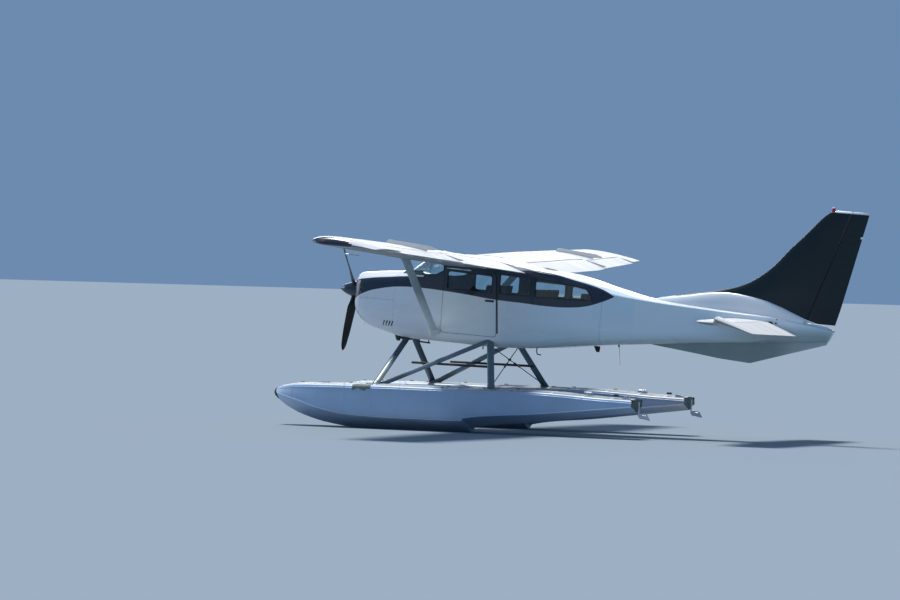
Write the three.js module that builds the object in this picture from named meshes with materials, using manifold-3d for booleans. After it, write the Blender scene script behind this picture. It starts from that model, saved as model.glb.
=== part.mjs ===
// Six-seat high-wing floatplane on twin floats, at real size, in millimetres.
// Frame: +X aft, +Y starboard, +Z up, origin on the floor under the middle of its bounding box.
// The airframe is drawn in its own frame: x aft of the spinner tip, z above the thrust line.
// The floats and their struts are drawn with x aft of the spinner tip and z above the floor.

import * as THREE from 'three';
import { mergeVertices } from 'three/addons/utils/BufferGeometryUtils.js';
import Module from 'manifold-3d';

const wasm = await Module();
wasm.setup();

// Driving dimensions
const middleBehindSpinner = 4083;
const thrustHeight = 2150;
const nosePitch = THREE.MathUtils.degToRad(3.41);
const seatGap = 0.3;
const runningGap = 6;
const cowlWall = 20;
const cabinWall = 30;
const tailWall = 25;
const glassDepth = 12;
const glassThickness = 6;
const lipShift = -26;
const endPin = 9;
const endGap = 8;

// How far the blocks reach that cut away all that lies on one side of a plane
const beyond = 12000;

const firewallX = 1165;
const noseBowlEnd = 520;
const cowlSplitZ = -100;
const cabinEnd = 4600;
const tailEnd = 8190;
const cabinHalfWidth = 580;

const wingRootY = 580;
const wingDihedral = THREE.MathUtils.degToRad(2.5);
const wingIncidence = THREE.MathUtils.degToRad(1.57);
const wingLeadX = 1730;
const wingLeadZ = 600;

const floatSpacing = 1200;

// Body sections. Columns: x, top, bottom, half width, top corner y, top corner z, bottom corner y, bottom corner z
const bodyRows = [
  [362, 195, -232, 222, 165, 150, 170, 120],
  [386, 248, -300, 272, 205, 185, 215, 150],
  [412, 272, -350, 325, 235, 200, 230, 170],
  [450, 289, -396, 380, 260, 205, 250, 200],
  [520, 302, -464, 418, 275, 205, 255, 216],
  [650, 318, -530, 450, 280, 200, 250, 220],
  [900, 347, -590, 485, 280, 200, 240, 200],
  [1165, 371, -642, 520, 280, 190, 220, 180],
  [1310, 388, -660, 540, 270, 175, 200, 170],
  [1500, 508, -667, 558, 220, 160, 180, 160],
  [1740, 655, -668, 574, 120, 110, 160, 150],
  [1950, 700, -669, 580, 40, 40, 150, 140],
  [2300, 708, -670, 580, 40, 40, 150, 140],
  [2600, 690, -680, 580, 40, 40, 150, 140],
  [2900, 652, -672, 580, 40, 40, 150, 140],
  [3400, 576, -645, 580, 40, 30, 150, 140],
  [3800, 552, -600, 568, 180, 36, 150, 140],
  [4140, 505, -546, 545, 260, 42, 160, 150],
  [4490, 430, -500, 500, 300, 60, 170, 160],
  [4690, 392, -476, 468, 320, 90, 170, 160],
  [5240, 294, -414, 378, 300, 40, 160, 150],
  [6250, 230, -300, 225, 190, 36, 110, 110],
  [7200, 190, -214, 140, 60, 40, 70, 80],
  [7750, 126, -165, 92, 50, 40, 50, 60],
  [8190, 62, -108, 46, 34, 34, 34, 34],
];
// The slanting line that the tail ends at, from above the cone to below it
const tailEndLine = [[8200, 82], [8076, -188]];

// Wing stations. Columns: span from the root, leading edge aft of the root's, chord, thickness ratio, droop
const wingRows = [
  [-60, 0, 1640, 0.12, 0],
  [1960, 0, 1640, 0.12, 0],
  [4650, 107, 1225, 0.12, 0],
  [4800, 172, 1132, 0.118, 6],
  [4880, 280, 920, 0.075, 30],
];
const flap = { from: 42, to: 2440, hinge: 1190, rest: 6 };
const aileron = { from: 2476, to: 4300, hinge: 1265, hingeTip: 1100, rest: 6 };
const fence = {
  span: 2920,
  thickness: 6,
  radius: 12,
  outline: [[470, 60], [540, 178], [1200, 150], [1330, 118], [1330, 98], [1180, 84], [1165, 55]],
};

// Fin and rudder stations. Columns: z, leading edge x, trailing edge x, thickness
const finRows = [
  [60, 5150, 8175, 170],
  [290, 5300, 8235, 150],
  [378, 5640, 8258, 130],
  [510, 6310, 8288, 112],
  [620, 6670, 8312, 106],
  [725, 6870, 8336, 102],
  [940, 7135, 8384, 96],
  [1220, 7380, 8446, 86],
  [1485, 7630, 8505, 76],
  [1760, 7880, 8567, 66],
  [1870, 8020, 8590, 44],
];
const rudder = { bottomX: 7745, bottomZ: 125, topX: 8330, topZ: 1830, clearZ: 138, pin: 11, pinBelow: 13 };

// Tailplane stations. Columns: y, leading edge x, trailing edge x, thickness
const tailplaneRows = [
  [40, 6396, 7692, 116],
  [1900, 6646, 7584, 78],
  [1980, 6740, 7570, 44],
];
const tailplaneZ = 60;
const elevator = { hingeX: 7170, rest: 15, inner: 175, hornY: 1790, hornReach: 235, tube: 20 };

// Float sections. Columns: x, deck z, chine z, keel z, deck half width, chine half width
const floatRows = [
  [-520, 526, 492, 458, 40, 45],
  [-455, 566, 500, 398, 120, 135],
  [-300, 607, 468, 290, 210, 240],
  [0, 645, 400, 160, 290, 330],
  [400, 657, 290, 60, 330, 380],
  [900, 664, 215, 0, 345, 400],
  [1630, 668, 190, 0, 350, 400],
  [2800, 662, 185, 0, 350, 400],
  [2806, 662, 225, 62, 350, 396],
  [3950, 660, 330, 205, 330, 365],
  [5000, 606, 440, 340, 280, 300],
  [5480, 588, 490, 402, 240, 250],
];
const keelHalfWidth = 22;
const deckCrown = 22;
const deckEdge = 36;
const sideKnee = 0.18;
const roundedFrom = 200;
const waterRudder = { postX: 5516, radius: 12, top: 566, bottom: 285, reach: 190, halfThickness: 6 };
// What holds the water rudder's post. Heights are above the post's top, aft is behind its middle.
const rudderCarriers = {
  bracket: { halfWidth: 45, above: 0, depth: 18, aft: 20 },
  heel: { halfWidth: 20, above: -150, depth: 16, aft: 12 },
};
const rudderCarrierFront = 5440;

// Mooring cleat pads on the decks. Columns: x of the pad's middle, height of its flat top above the floor
const cleatPads = [[330, 692], [4700, 668]];
const padHalf = { x: 70, y: 35 };
const padDepth = 60;

// Float struts in the floor frame. Columns: name, lower end, upper end, chord, thickness; y is for starboard
const gearRows = [
  ['float_strut_front', [1153, 1200, 640], [1250, 20, 1490], 112, 46],
  ['float_strut_rear', [3108, 1200, 620], [2789, 506, 1460], 112, 46],
  ['float_strut_diagonal', [1169, 1074, 655], [2815, 560, 1410], 84, 38],
];
const spreaderBar = { z: 590, halfLength: 1150, chord: 96, thickness: 44 };
const boardingStep = { front: [1590, 778, 1030], rear: [2990, 866, 1004], radius: 19 };
const braceWire = { top: [2838, 605, 1325], bottom: [3074, -1122, 708], radius: 7 };

// Colours, roughness and metalness
const paints = {
  white: [0xe9edf2, 0.35, 0.1],
  charcoal: [0x20252f, 0.35, 0.1],
  floatGrey: [0x8d9bab, 0.45, 0.5],
  strutGrey: [0x5d6b76, 0.45, 0.5],
  black: [0x15171a, 0.5, 0.2],
  steel: [0x9aa0a6, 0.35, 0.9],
  interior: [0x4a4d52, 0.8, 0.0],
  leather: [0x6a5c4c, 0.7, 0.0],
  glass: [0xbcd6dc, 0.05, 0.0],
};

function paint(name) {
  const [color, roughness, metalness] = paints[name];
  return new THREE.MeshStandardMaterial({ color, roughness, metalness });
}

// A closed body through rings of equally many points, with a fan of triangles over each end.
function loft(rings) {
  const count = rings[0].length;
  const positions = rings.flat(2);
  const index = [];
  for (let ring = 0; ring < rings.length - 1; ring += 1) {
    for (let i = 0; i < count; i += 1) {
      const a = ring * count + i;
      const b = ring * count + ((i + 1) % count);
      index.push(a, b, a + count, b, b + count, a + count);
    }
  }
  [0, rings.length - 1].forEach((ring) => {
    const centre = [0, 1, 2].map((axis) => rings[ring].reduce((sum, p) => sum + p[axis], 0) / count);
    const hub = positions.length / 3;
    positions.push(...centre);
    for (let i = 0; i < count; i += 1) {
      const a = ring * count + i;
      const b = ring * count + ((i + 1) % count);
      index.push(...(ring === 0 ? [hub, b, a] : [hub, a, b]));
    }
  });
  const geometry = new THREE.BufferGeometry();
  geometry.setAttribute('position', new THREE.Float32BufferAttribute(positions, 3));
  geometry.setIndex(index);
  return geometry;
}

function signedVolume(positions, index) {
  const corner = (i) => new THREE.Vector3().fromArray(positions, index[i] * 3);
  let volume = 0;
  for (let i = 0; i < index.length; i += 3) {
    volume += corner(i).dot(corner(i + 1).cross(corner(i + 2)));
  }
  return volume;
}

// A geometry as a solid, with its faces turned outwards.
function solidOf(geometry) {
  const bare = geometry.clone();
  bare.deleteAttribute('normal');
  bare.deleteAttribute('uv');
  const merged = mergeVertices(bare, 1e-3);
  const vertProperties = Float32Array.from(merged.attributes.position.array);
  const triVerts = Uint32Array.from(merged.index.array);
  if (signedVolume(vertProperties, triVerts) < 0) {
    triVerts.reverse();
  }
  return new wasm.Manifold(new wasm.Mesh({ numProp: 3, vertProperties, triVerts }));
}

function geometryOf(solid) {
  const { vertProperties, triVerts } = solid.getMesh();
  const geometry = new THREE.BufferGeometry();
  geometry.setAttribute('position', new THREE.BufferAttribute(vertProperties, 3));
  geometry.setIndex(new THREE.BufferAttribute(triVerts, 1));
  return geometry;
}

function meshOf(name, solid, paintName) {
  const geometry = geometryOf(solid);
  geometry.computeVertexNormals();
  const mesh = new THREE.Mesh(geometry, paint(paintName));
  mesh.name = name;
  return mesh;
}

function join(solids) {
  return solids.reduce((whole, piece) => whole.add(piece));
}

function cut(solid, tools) {
  return tools.reduce((rest, tool) => rest.subtract(tool), solid);
}

// The y values from near the middle to far from it, on the port side (-1) or the starboard side (1)
function sided(side, near, far) {
  return [side * near, side * far].sort((a, b) => a - b);
}

function mirrored([x, y, z], side) {
  return [x, side * y, z];
}

function keepLargest(solid) {
  const parts = solid.decompose();
  return parts.reduce((best, part) => (part.volume() > best.volume() ? part : best));
}

function box([x0, x1], [y0, y1], [z0, z1]) {
  const geometry = new THREE.BoxGeometry(x1 - x0, y1 - y0, z1 - z0);
  geometry.translate((x0 + x1) / 2, (y0 + y1) / 2, (z0 + z1) / 2);
  return solidOf(geometry);
}

// The matrix that carries +Z onto the line between two points, with +X as near to a wanted direction as it can be.
function alongLine(from, to, acrossWanted) {
  const start = new THREE.Vector3(...from);
  const along = new THREE.Vector3(...to).sub(start).normalize();
  const across = new THREE.Vector3(...acrossWanted);
  across.addScaledVector(along, -across.dot(along)).normalize();
  const third = new THREE.Vector3().crossVectors(along, across);
  return new THREE.Matrix4().makeBasis(across, third, along).setPosition(start);
}

function distance(from, to) {
  return new THREE.Vector3(...from).distanceTo(new THREE.Vector3(...to));
}

function rod(from, to, radius, sides = 12) {
  const length = distance(from, to);
  const geometry = new THREE.CylinderGeometry(radius, radius, length, sides);
  geometry.rotateX(Math.PI / 2);
  geometry.translate(0, 0, length / 2);
  geometry.applyMatrix4(alongLine(from, to, [1, 0.001, 0.002]));
  return solidOf(geometry);
}

// A streamlined strut: an ellipse of the chord and thickness, extruded between two points.
function strut(from, to, chord, thickness) {
  const shape = new THREE.Shape();
  shape.absellipse(0, 0, chord / 2, thickness / 2, 0, Math.PI * 2, false, 0);
  const settings = { depth: distance(from, to), bevelEnabled: false, curveSegments: 8 };
  const geometry = new THREE.ExtrudeGeometry(shape, settings);
  geometry.applyMatrix4(alongLine(from, to, [1, 0, 0]));
  return solidOf(geometry);
}

function outlineShape(points, radius) {
  const shape = new THREE.Shape();
  const corners = points.map(([x, z]) => new THREE.Vector2(x, z));
  corners.forEach((corner, i) => {
    const before = corners[(i + corners.length - 1) % corners.length];
    const after = corners[(i + 1) % corners.length];
    const towards = (other) => {
      const edge = other.clone().sub(corner);
      return corner.clone().add(edge.setLength(Math.min(radius, 0.45 * edge.length())));
    };
    const entry = towards(before);
    const exit = towards(after);
    if (i === 0) {
      shape.moveTo(entry.x, entry.y);
    } else {
      shape.lineTo(entry.x, entry.y);
    }
    shape.quadraticCurveTo(corner.x, corner.y, exit.x, exit.y);
  });
  shape.closePath();
  return shape;
}

// The outline with each edge moved inwards by a distance, or outwards where it is negative.
function insetOutline(points, inset) {
  const area = points.reduce((sum, [x, z], i) => {
    const [nextX, nextZ] = points[(i + 1) % points.length];
    return sum + x * nextZ - nextX * z;
  }, 0);
  const turn = Math.sign(area);
  const edges = points.map(([x, z], i) => {
    const [nextX, nextZ] = points[(i + 1) % points.length];
    const length = Math.hypot(nextX - x, nextZ - z);
    const normal = [(-turn * (nextZ - z)) / length, (turn * (nextX - x)) / length];
    const offset = normal[0] * x + normal[1] * z + inset;
    return { normal, offset };
  });
  return points.map((point, i) => {
    const first = edges[(i + edges.length - 1) % edges.length];
    const second = edges[i];
    const det = first.normal[0] * second.normal[1] - first.normal[1] * second.normal[0];
    return [
      (first.offset * second.normal[1] - second.offset * first.normal[1]) / det,
      (first.normal[0] * second.offset - second.normal[0] * first.offset) / det,
    ];
  });
}

// A side-view outline as a prism across the body, from one y to another
function sideGeometry(points, radius, [y0, y1]) {
  const settings = { depth: y1 - y0, bevelEnabled: false, curveSegments: 4 };
  const geometry = new THREE.ExtrudeGeometry(outlineShape(points, radius), settings);
  geometry.rotateX(Math.PI / 2);
  geometry.translate(0, y1, 0);
  return geometry;
}

function sidePrism(points, radius, ySpan) {
  return solidOf(sideGeometry(points, radius, ySpan));
}

// A table's row at any value of its first column, between its two neighbours
function rowAt(rows, value) {
  const after = Math.max(1, rows.findIndex((row) => row[0] >= value));
  const [low, high] = [rows[after - 1], rows[after]];
  const share = (value - low[0]) / (high[0] - low[0]);
  return low.map((entry, i) => entry + share * (high[i] - entry));
}

// Body sections with elliptical corners, grown outwards by some millimetres or shrunk inwards
function bodyRing(row, grow) {
  const [x, top, bottom, half, topY, topZ, bottomY, bottomZ] = row;
  const least = 5;
  const steps = 4;
  const radius = (value) => Math.max(value + grow, least);
  const corners = [
    [1, 1, radius(topY), radius(topZ), 0],
    [-1, 1, radius(topY), radius(topZ), 90],
    [-1, -1, radius(bottomY), radius(bottomZ), 180],
    [1, -1, radius(bottomY), radius(bottomZ), 270],
  ];
  return corners.flatMap(([sideY, sideZ, radiusY, radiusZ, start]) => {
    const centreY = sideY * (half + grow - radiusY);
    const centreZ = sideZ > 0 ? top + grow - radiusZ : bottom - grow + radiusZ;
    return Array.from({ length: steps + 1 }, (_, step) => {
      const angle = THREE.MathUtils.degToRad(start + (90 * step) / steps);
      return [x, centreY + radiusY * Math.cos(angle), centreZ + radiusZ * Math.sin(angle)];
    });
  });
}

function bodyGeometry(fromX, toX, grow = 0) {
  const between = bodyRows.filter(([x]) => x > fromX + 1 && x < toX - 1);
  const rows = [rowAt(bodyRows, fromX), ...between, rowAt(bodyRows, toX)];
  return loft(rows.map((row) => bodyRing(row, grow)));
}

function body(fromX, toX, grow = 0) {
  return solidOf(bodyGeometry(fromX, toX, grow));
}

// Aerofoil: half thickness and camber at a share of the chord, for a thickness ratio of 1
const aerofoilShares = [0, 0.012, 0.05, 0.14, 0.3, 0.48, 0.66, 0.83, 1];
const camberHeight = 0.02;
const camberPeak = 0.4;

function halfThickness(share) {
  const root = 0.2969 * Math.sqrt(share);
  return 5 * (root - 0.126 * share - 0.3516 * share ** 2 + 0.2843 * share ** 3 - 0.098 * share ** 4);
}

function camber(share) {
  if (share < camberPeak) {
    return (camberHeight / camberPeak ** 2) * (2 * camberPeak * share - share ** 2);
  }
  return (camberHeight / (1 - camberPeak) ** 2) * (1 - 2 * camberPeak + 2 * camberPeak * share - share ** 2);
}

// Points of a section as [share of chord, height over chord], from the trailing edge over the top and back
function aerofoil(thickness, cambered) {
  const surface = (share, side) => {
    const middle = cambered ? camber(share) : 0;
    return [share, middle + side * Math.max(halfThickness(share) * thickness, 0.0012)];
  };
  const upper = [...aerofoilShares].reverse().map((share) => surface(share, 1));
  const lower = aerofoilShares.map((share) => surface(share, -1));
  return [...upper, ...lower];
}

// Wing: drawn flat with x aft of the root's leading edge and y outwards, then set at its incidence and dihedral
function wingMatrix(side) {
  const place = new THREE.Matrix4().makeTranslation(wingLeadX, side * wingRootY, wingLeadZ);
  const lift = new THREE.Matrix4().makeRotationX(side * wingDihedral);
  const tilt = new THREE.Matrix4().makeRotationY(wingIncidence);
  return place.multiply(lift).multiply(tilt);
}

function placed(geometry, matrix) {
  geometry.applyMatrix4(matrix);
  return solidOf(geometry);
}

function wingGeometry(side, grow = 0) {
  const rings = wingRows.map(([span, lead, chord, thickness, droop]) => {
    const wide = chord + 2 * grow;
    const ratio = (thickness * chord + 2 * grow) / wide;
    return aerofoil(ratio, true).map(([share, height]) => [
      lead - grow + share * wide,
      side * span,
      height * wide - droop,
    ]);
  });
  return loft(rings);
}

// The middle height and half thickness of the wing at a point of its plan
function wingMiddle(span, x) {
  const [, lead, chord, thickness] = rowAt(wingRows, span);
  const share = (x - lead) / chord;
  return { z: camber(share) * chord, half: halfThickness(share) * thickness * chord };
}

// A hinged surface of the wing: its hinge ends, nose radii and the block of space behind the hinge
function hingedPanel(side, { from, to, hinge, hingeTip = hinge }) {
  const ends = [[from, hinge], [to, hingeTip]].map(([span, x]) => ({ span, x, ...wingMiddle(span, x) }));
  const points = ends.map(({ span, x, z }) => [x, side * span, z]);
  const [inner, outer] = ends;
  const aft = (shift, widening) => {
    const ring = (end, outward) => [
      [end.x + shift, side * (end.span + outward * widening), -beyond],
      [end.x + shift, side * (end.span + outward * widening), beyond],
      [end.x + beyond, side * (end.span + outward * widening), beyond],
      [end.x + beyond, side * (end.span + outward * widening), -beyond],
    ];
    return loft([ring(inner, -1), ring(outer, 1)]);
  };
  return { points, radii: ends.map(({ half }) => half), aft };
}

function extended(points, extra) {
  const [start, end] = points.map((point) => new THREE.Vector3(...point));
  const along = end.clone().sub(start).normalize();
  return [start.addScaledVector(along, -extra).toArray(), end.addScaledVector(along, extra).toArray()];
}

function barrel(points, radii, grow, extra) {
  const [from, to] = extended(points, extra);
  const length = distance(from, to);
  const geometry = new THREE.CylinderGeometry(radii[1] + grow, radii[0] + grow, length, 20);
  geometry.rotateX(Math.PI / 2);
  geometry.translate(0, 0, length / 2);
  geometry.applyMatrix4(alongLine(from, to, [1, 0.001, 0.002]));
  return geometry;
}

function turnedAbout(solid, points, degrees) {
  const geometry = geometryOf(solid);
  const start = new THREE.Vector3(...points[0]);
  const along = new THREE.Vector3(...points[1]).sub(start).normalize();
  const turn = new THREE.Matrix4().makeRotationAxis(along, THREE.MathUtils.degToRad(degrees));
  geometry.translate(-start.x, -start.y, -start.z);
  geometry.applyMatrix4(turn);
  geometry.translate(start.x, start.y, start.z);
  return solidOf(geometry);
}

// A control surface and the wing's cove for it, in the wing's own flat frame.
// The surface turns nose-in-cove about its hinge, and a pin at each end seats on the rib beside it.
function panelAndCove(side, wingFlat, panel, downAtRest) {
  const { points, radii, aft } = hingedPanel(side, panel);
  const nose = solidOf(barrel(points, radii, -1, 0));
  const behind = wingFlat.intersect(solidOf(aft(0, 0)));
  const pins = solidOf(barrel(points, [endPin, endPin], 0, endGap - seatGap));
  const moving = join([behind, nose, pins]);
  const coveShift = -0.85 * Math.max(...radii);
  const cove = join([solidOf(aft(coveShift, endGap)), solidOf(barrel(points, radii, runningGap, endGap))]);
  return { moving: turnedAbout(moving, points, side * downAtRest), cove, points };
}

function movedBy(solid, matrix) {
  return placed(geometryOf(solid), matrix);
}

function buildWing(side) {
  const flat = solidOf(wingGeometry(side));
  const flapParts = panelAndCove(side, flat, flap, flap.rest);
  const aileronParts = panelAndCove(side, flat, aileron, aileron.rest);
  const matrix = wingMatrix(side);
  const fixed = movedBy(cut(flat, [flapParts.cove, aileronParts.cove]), matrix);
  const inboard = box([-beyond, beyond], sided(side, -wingRootY, wingRootY + seatGap), [-beyond, beyond]);
  return {
    wing: cut(join([fixed, fenceOn(side)]), [inboard]),
    flap: movedBy(flapParts.moving, matrix),
    aileron: movedBy(aileronParts.moving, matrix),
  };
}

// A thin fore-and-aft fence that stands on the wing's upper side
function fenceOn(side) {
  const { span, thickness, radius, outline } = fence;
  const ySpan = [side * span - thickness / 2, side * span + thickness / 2];
  return placed(sideGeometry(outline, radius, ySpan), wingMatrix(side));
}

const wings = { right: buildWing(1), left: buildWing(-1) };

// Wing struts, from the body's lower corner to the wing's underside
const wingStrut = { foot: [1904, 480, -600], head: [2148, 2600, 690], chord: 142, thickness: 52 };

function buildWingStrut(side) {
  const { foot, head, chord, thickness } = wingStrut;
  const bar = strut(mirrored(foot, side), mirrored(head, side), chord, thickness);
  const wingSkin = placed(wingGeometry(side, seatGap), wingMatrix(side));
  return keepLargest(cut(bar, [wingSkin, body(firewallX, cabinEnd, seatGap)]));
}

// Doors and windows. Outlines are side views: x, z of each corner
const openings = {
  pilotDoor: [[2000, -520], [2948, -520], [2866, 470], [2000, 488]],
  pilotWindow: [[2062, 165], [2808, 160], [2808, 418], [2062, 440]],
  middleWindow: [[2940, 165], [3452, 165], [3452, 450], [2940, 470]],
  rearWindow: [[3530, 165], [4415, 180], [4452, 215], [4330, 366], [3530, 438]],
  cargoFront: [[2950, -520], [3646, -520], [3646, 412], [2950, 424]],
  cargoFrontWindow: [[3010, 165], [3590, 165], [3590, 362], [3010, 372]],
  cargoRear: [[3652, -495], [4090, -440], [4090, 350], [3652, 411]],
  cargoRearWindow: [[3708, 168], [4030, 175], [4030, 305], [3708, 355]],
  aftWindow: [[4150, 178], [4415, 182], [4452, 215], [4330, 366], [4150, 380]],
};
const windshieldOutline = [
  [1250, 345], [1500, 345], [1690, 340], [1860, 364], [1985, 438],
  [1985, 520], [1770, 575], [1742, 642], [1700, 760], [1200, 760],
];
const outsideLeft = [-700, -400];
const outsideRight = [400, 700];
const bothSides = [-700, 700];

const hingePin = 9;
const hingeSpan = 70;

// Two hinge knuckles on a side door's edge, upright at the outer skin
function knuckles(x, y, heights, radius) {
  return join(heights.map((z) => rod([x, y, z - hingeSpan / 2], [x, y, z + hingeSpan / 2], radius)));
}

const doorHinges = {
  pilot: { x: 2003, y: -cabinHalfWidth - 3, heights: [-330, 250] },
  cargoFront: { x: 2953, y: cabinHalfWidth + 3, heights: [-330, 250] },
  cargoRear: { x: 4087, y: 552, heights: [-300, 220] },
};

const cabinOuter = body(firewallX + 12, cabinEnd);
const cabinInner = body(firewallX - 40, cabinEnd + 200, -cabinWall);
const cabinSkin = cabinOuter.subtract(cabinInner);
const cabinSpace = body(firewallX - 40, cabinEnd + 200, -cabinWall - seatGap);
const glassLayer = body(firewallX + 12, cabinEnd, -glassDepth)
  .subtract(body(firewallX - 40, cabinEnd + 200, -glassDepth - glassThickness));

function pane(outline, radius, ySpan) {
  return glassLayer.intersect(sidePrism(insetOutline(outline, seatGap), radius, ySpan));
}

function door(outline, windowOutline, ySpan, hinge) {
  const leaf = cabinSkin.intersect(sidePrism(insetOutline(outline, runningGap), 60, ySpan));
  const pins = knuckles(hinge.x, hinge.y, hinge.heights, hingePin);
  return cut(join([leaf, pins]), [sidePrism(windowOutline, 40, ySpan)]);
}

function buildCabin() {
  const seats = Object.values(doorHinges).map(({ x, y, heights }) => join(
    heights.map((z) => rod([x, y, z - hingeSpan / 2 - 1], [x, y, z + hingeSpan / 2 + 1], hingePin + seatGap, 24)),
  ));
  const holes = [
    sidePrism(windshieldOutline, 8, bothSides),
    sidePrism(openings.pilotDoor, 60, outsideLeft),
    sidePrism(openings.middleWindow, 40, outsideLeft),
    sidePrism(openings.rearWindow, 40, outsideLeft),
    sidePrism(openings.pilotWindow, 40, outsideRight),
    sidePrism(openings.cargoFront, 60, outsideRight),
    sidePrism(openings.cargoRear, 60, outsideRight),
    sidePrism(openings.aftWindow, 20, outsideRight),
    ...seats,
  ];
  const panes = {
    windshield: pane(windshieldOutline, 8, bothSides),
    window_left_middle: pane(openings.middleWindow, 40, outsideLeft),
    window_left_rear: pane(openings.rearWindow, 40, outsideLeft),
    window_right_front: pane(openings.pilotWindow, 40, outsideRight),
    window_right_rear: pane(openings.aftWindow, 20, outsideRight),
    pilot_door_window: pane(openings.pilotWindow, 40, outsideLeft),
    cargo_door_front_window: pane(openings.cargoFrontWindow, 40, outsideRight),
    cargo_door_rear_window: pane(openings.cargoRearWindow, 40, outsideRight),
  };
  const doors = {
    pilot_door: door(openings.pilotDoor, openings.pilotWindow, outsideLeft, doorHinges.pilot),
    cargo_door_front: door(openings.cargoFront, openings.cargoFrontWindow, outsideRight, doorHinges.cargoFront),
    cargo_door_rear: door(openings.cargoRear, openings.cargoRearWindow, outsideRight, doorHinges.cargoRear),
  };
  return { shell: cut(cabinSkin, holes), panes, doors };
}

const cabin = buildCabin();

// Nose: bowl with two air inlets, upper and lower cowling, engine, exhaust and firewall
const noseFront = bodyRows[0][0];
const bowlFrontWall = 15;
const firewallDepth = 12;
const airInlet = { inner: 105, outer: 205, halfHeight: 72 };
const shaftHoleRadius = 84;
const warmAirOutlet = { front: 1090, halfWidth: 200, top: -560 };
const exhaust = { radius: 32, wall: 4, x: 1010, y: 130, top: -250, bottom: -745, boreTop: -310 };
const propeller = { planeX: 262, hubFront: 150, hubEnd: 380, hubRadius: 72, firstBlade: 42 };

function buildNose() {
  const { inner, outer, halfHeight } = airInlet;
  const everyY = [-beyond, beyond];
  const hollow = body(noseFront + bowlFrontWall, firewallX + cowlWall, -cowlWall);
  const inlets = [-1, 1].map((side) => box([0, noseBowlEnd], sided(side, inner, outer), [-halfHeight, halfHeight]));
  const shaftHole = rod([0, 0, 0], [noseBowlEnd, 0, 0], shaftHoleRadius, 24);
  const ring = body(noseBowlEnd + seatGap, firewallX).subtract(hollow);
  const upperHalf = box([0, beyond], everyY, [cowlSplitZ + seatGap, beyond]);
  const lowerHalf = box([0, beyond], everyY, [-beyond, cowlSplitZ]);
  const { x, y, top, radius } = exhaust;
  const exhaustHole = rod([x, y, top], [x, y, -beyond], radius + runningGap, 20);
  const outletWidth = [-warmAirOutlet.halfWidth, warmAirOutlet.halfWidth];
  const outlet = box([warmAirOutlet.front, beyond], outletWidth, [-beyond, warmAirOutlet.top]);
  return {
    nose_bowl: cut(body(noseFront, noseBowlEnd), [hollow, ...inlets, shaftHole]),
    cowling_upper: ring.intersect(upperHalf),
    cowling_lower: cut(ring.intersect(lowerHalf), [exhaustHole, outlet]),
    firewall: body(firewallX + seatGap, firewallX + firewallDepth - seatGap),
  };
}

// Engine blocks. Columns: name, x span, y span, z span
const engineBlocks = [
  ['crankcase', [470, 1040], [-190, 190], [-210, 140]],
  ['cylinders', [560, 990], [-395, 395], [-120, 100]],
  ['sump', [600, 1060], [60, 200], [exhaust.top, -180]],
];
const engineMounts = { front: 1020, radius: 22, halfWidth: 150, heights: [-140, 90] };
const crankshaftRadius = 60;

function buildEngine() {
  const blocks = engineBlocks.map(([, xSpan, ySpan, zSpan]) => box(xSpan, ySpan, zSpan));
  const { front, radius, halfWidth, heights } = engineMounts;
  const mounts = heights.flatMap((z) => [-halfWidth, halfWidth].map((y) => (
    rod([front, y, z], [firewallX, y, z], radius, 10)
  )));
  const crankshaft = rod([propeller.hubEnd + seatGap, 0, 0], [noseBowlEnd, 0, 0], crankshaftRadius, 20);
  return join([...blocks, crankshaft, ...mounts]);
}

function buildExhaust() {
  const { radius, wall, x, y, top, bottom, boreTop } = exhaust;
  const pipe = rod([x, y, top - seatGap], [x, y, bottom], radius, 20);
  return pipe.subtract(rod([x, y, boreTop], [x, y, -beyond], radius - wall, 20));
}

// Propeller: hub with a back plate, three twisted blades, and a pointed spinner around the hub
// Blade stations. Columns: radius, chord, thickness, pitch angle in degrees
const bladeRows = [
  [60, 78, 70, 52],
  [190, 96, 56, 46],
  [330, 150, 34, 38],
  [640, 152, 20, 26],
  [900, 118, 12, 20],
  [1015, 60, 7, 18],
];
// Spinner sections. Columns: x, radius
const spinnerRows = [[0, 4], [33, 32], [100, 74], [178, 105], [262, 130], [345, 146]];
const spinnerRear = 345;
const spinnerWall = 6;
const spinnerTipDepth = 36;
const bladeSlotGap = 4;
const backPlate = { radius: 140, depth: 9 };

function bladeGeometry(degrees, grow) {
  const sides = 12;
  const rings = bladeRows.map(([radius, chord, thickness, pitchAngle]) => {
    const twist = THREE.MathUtils.degToRad(pitchAngle);
    return Array.from({ length: sides }, (_, i) => {
      const angle = (2 * Math.PI * i) / sides;
      const across = (chord / 2 + grow) * Math.cos(angle);
      const through = (thickness / 2 + grow) * Math.sin(angle);
      return [
        through * Math.cos(twist) - across * Math.sin(twist),
        across * Math.cos(twist) + through * Math.sin(twist),
        radius,
      ];
    });
  });
  const geometry = loft(rings);
  geometry.rotateX(THREE.MathUtils.degToRad(degrees));
  geometry.translate(propeller.planeX, 0, 0);
  return geometry;
}

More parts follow.
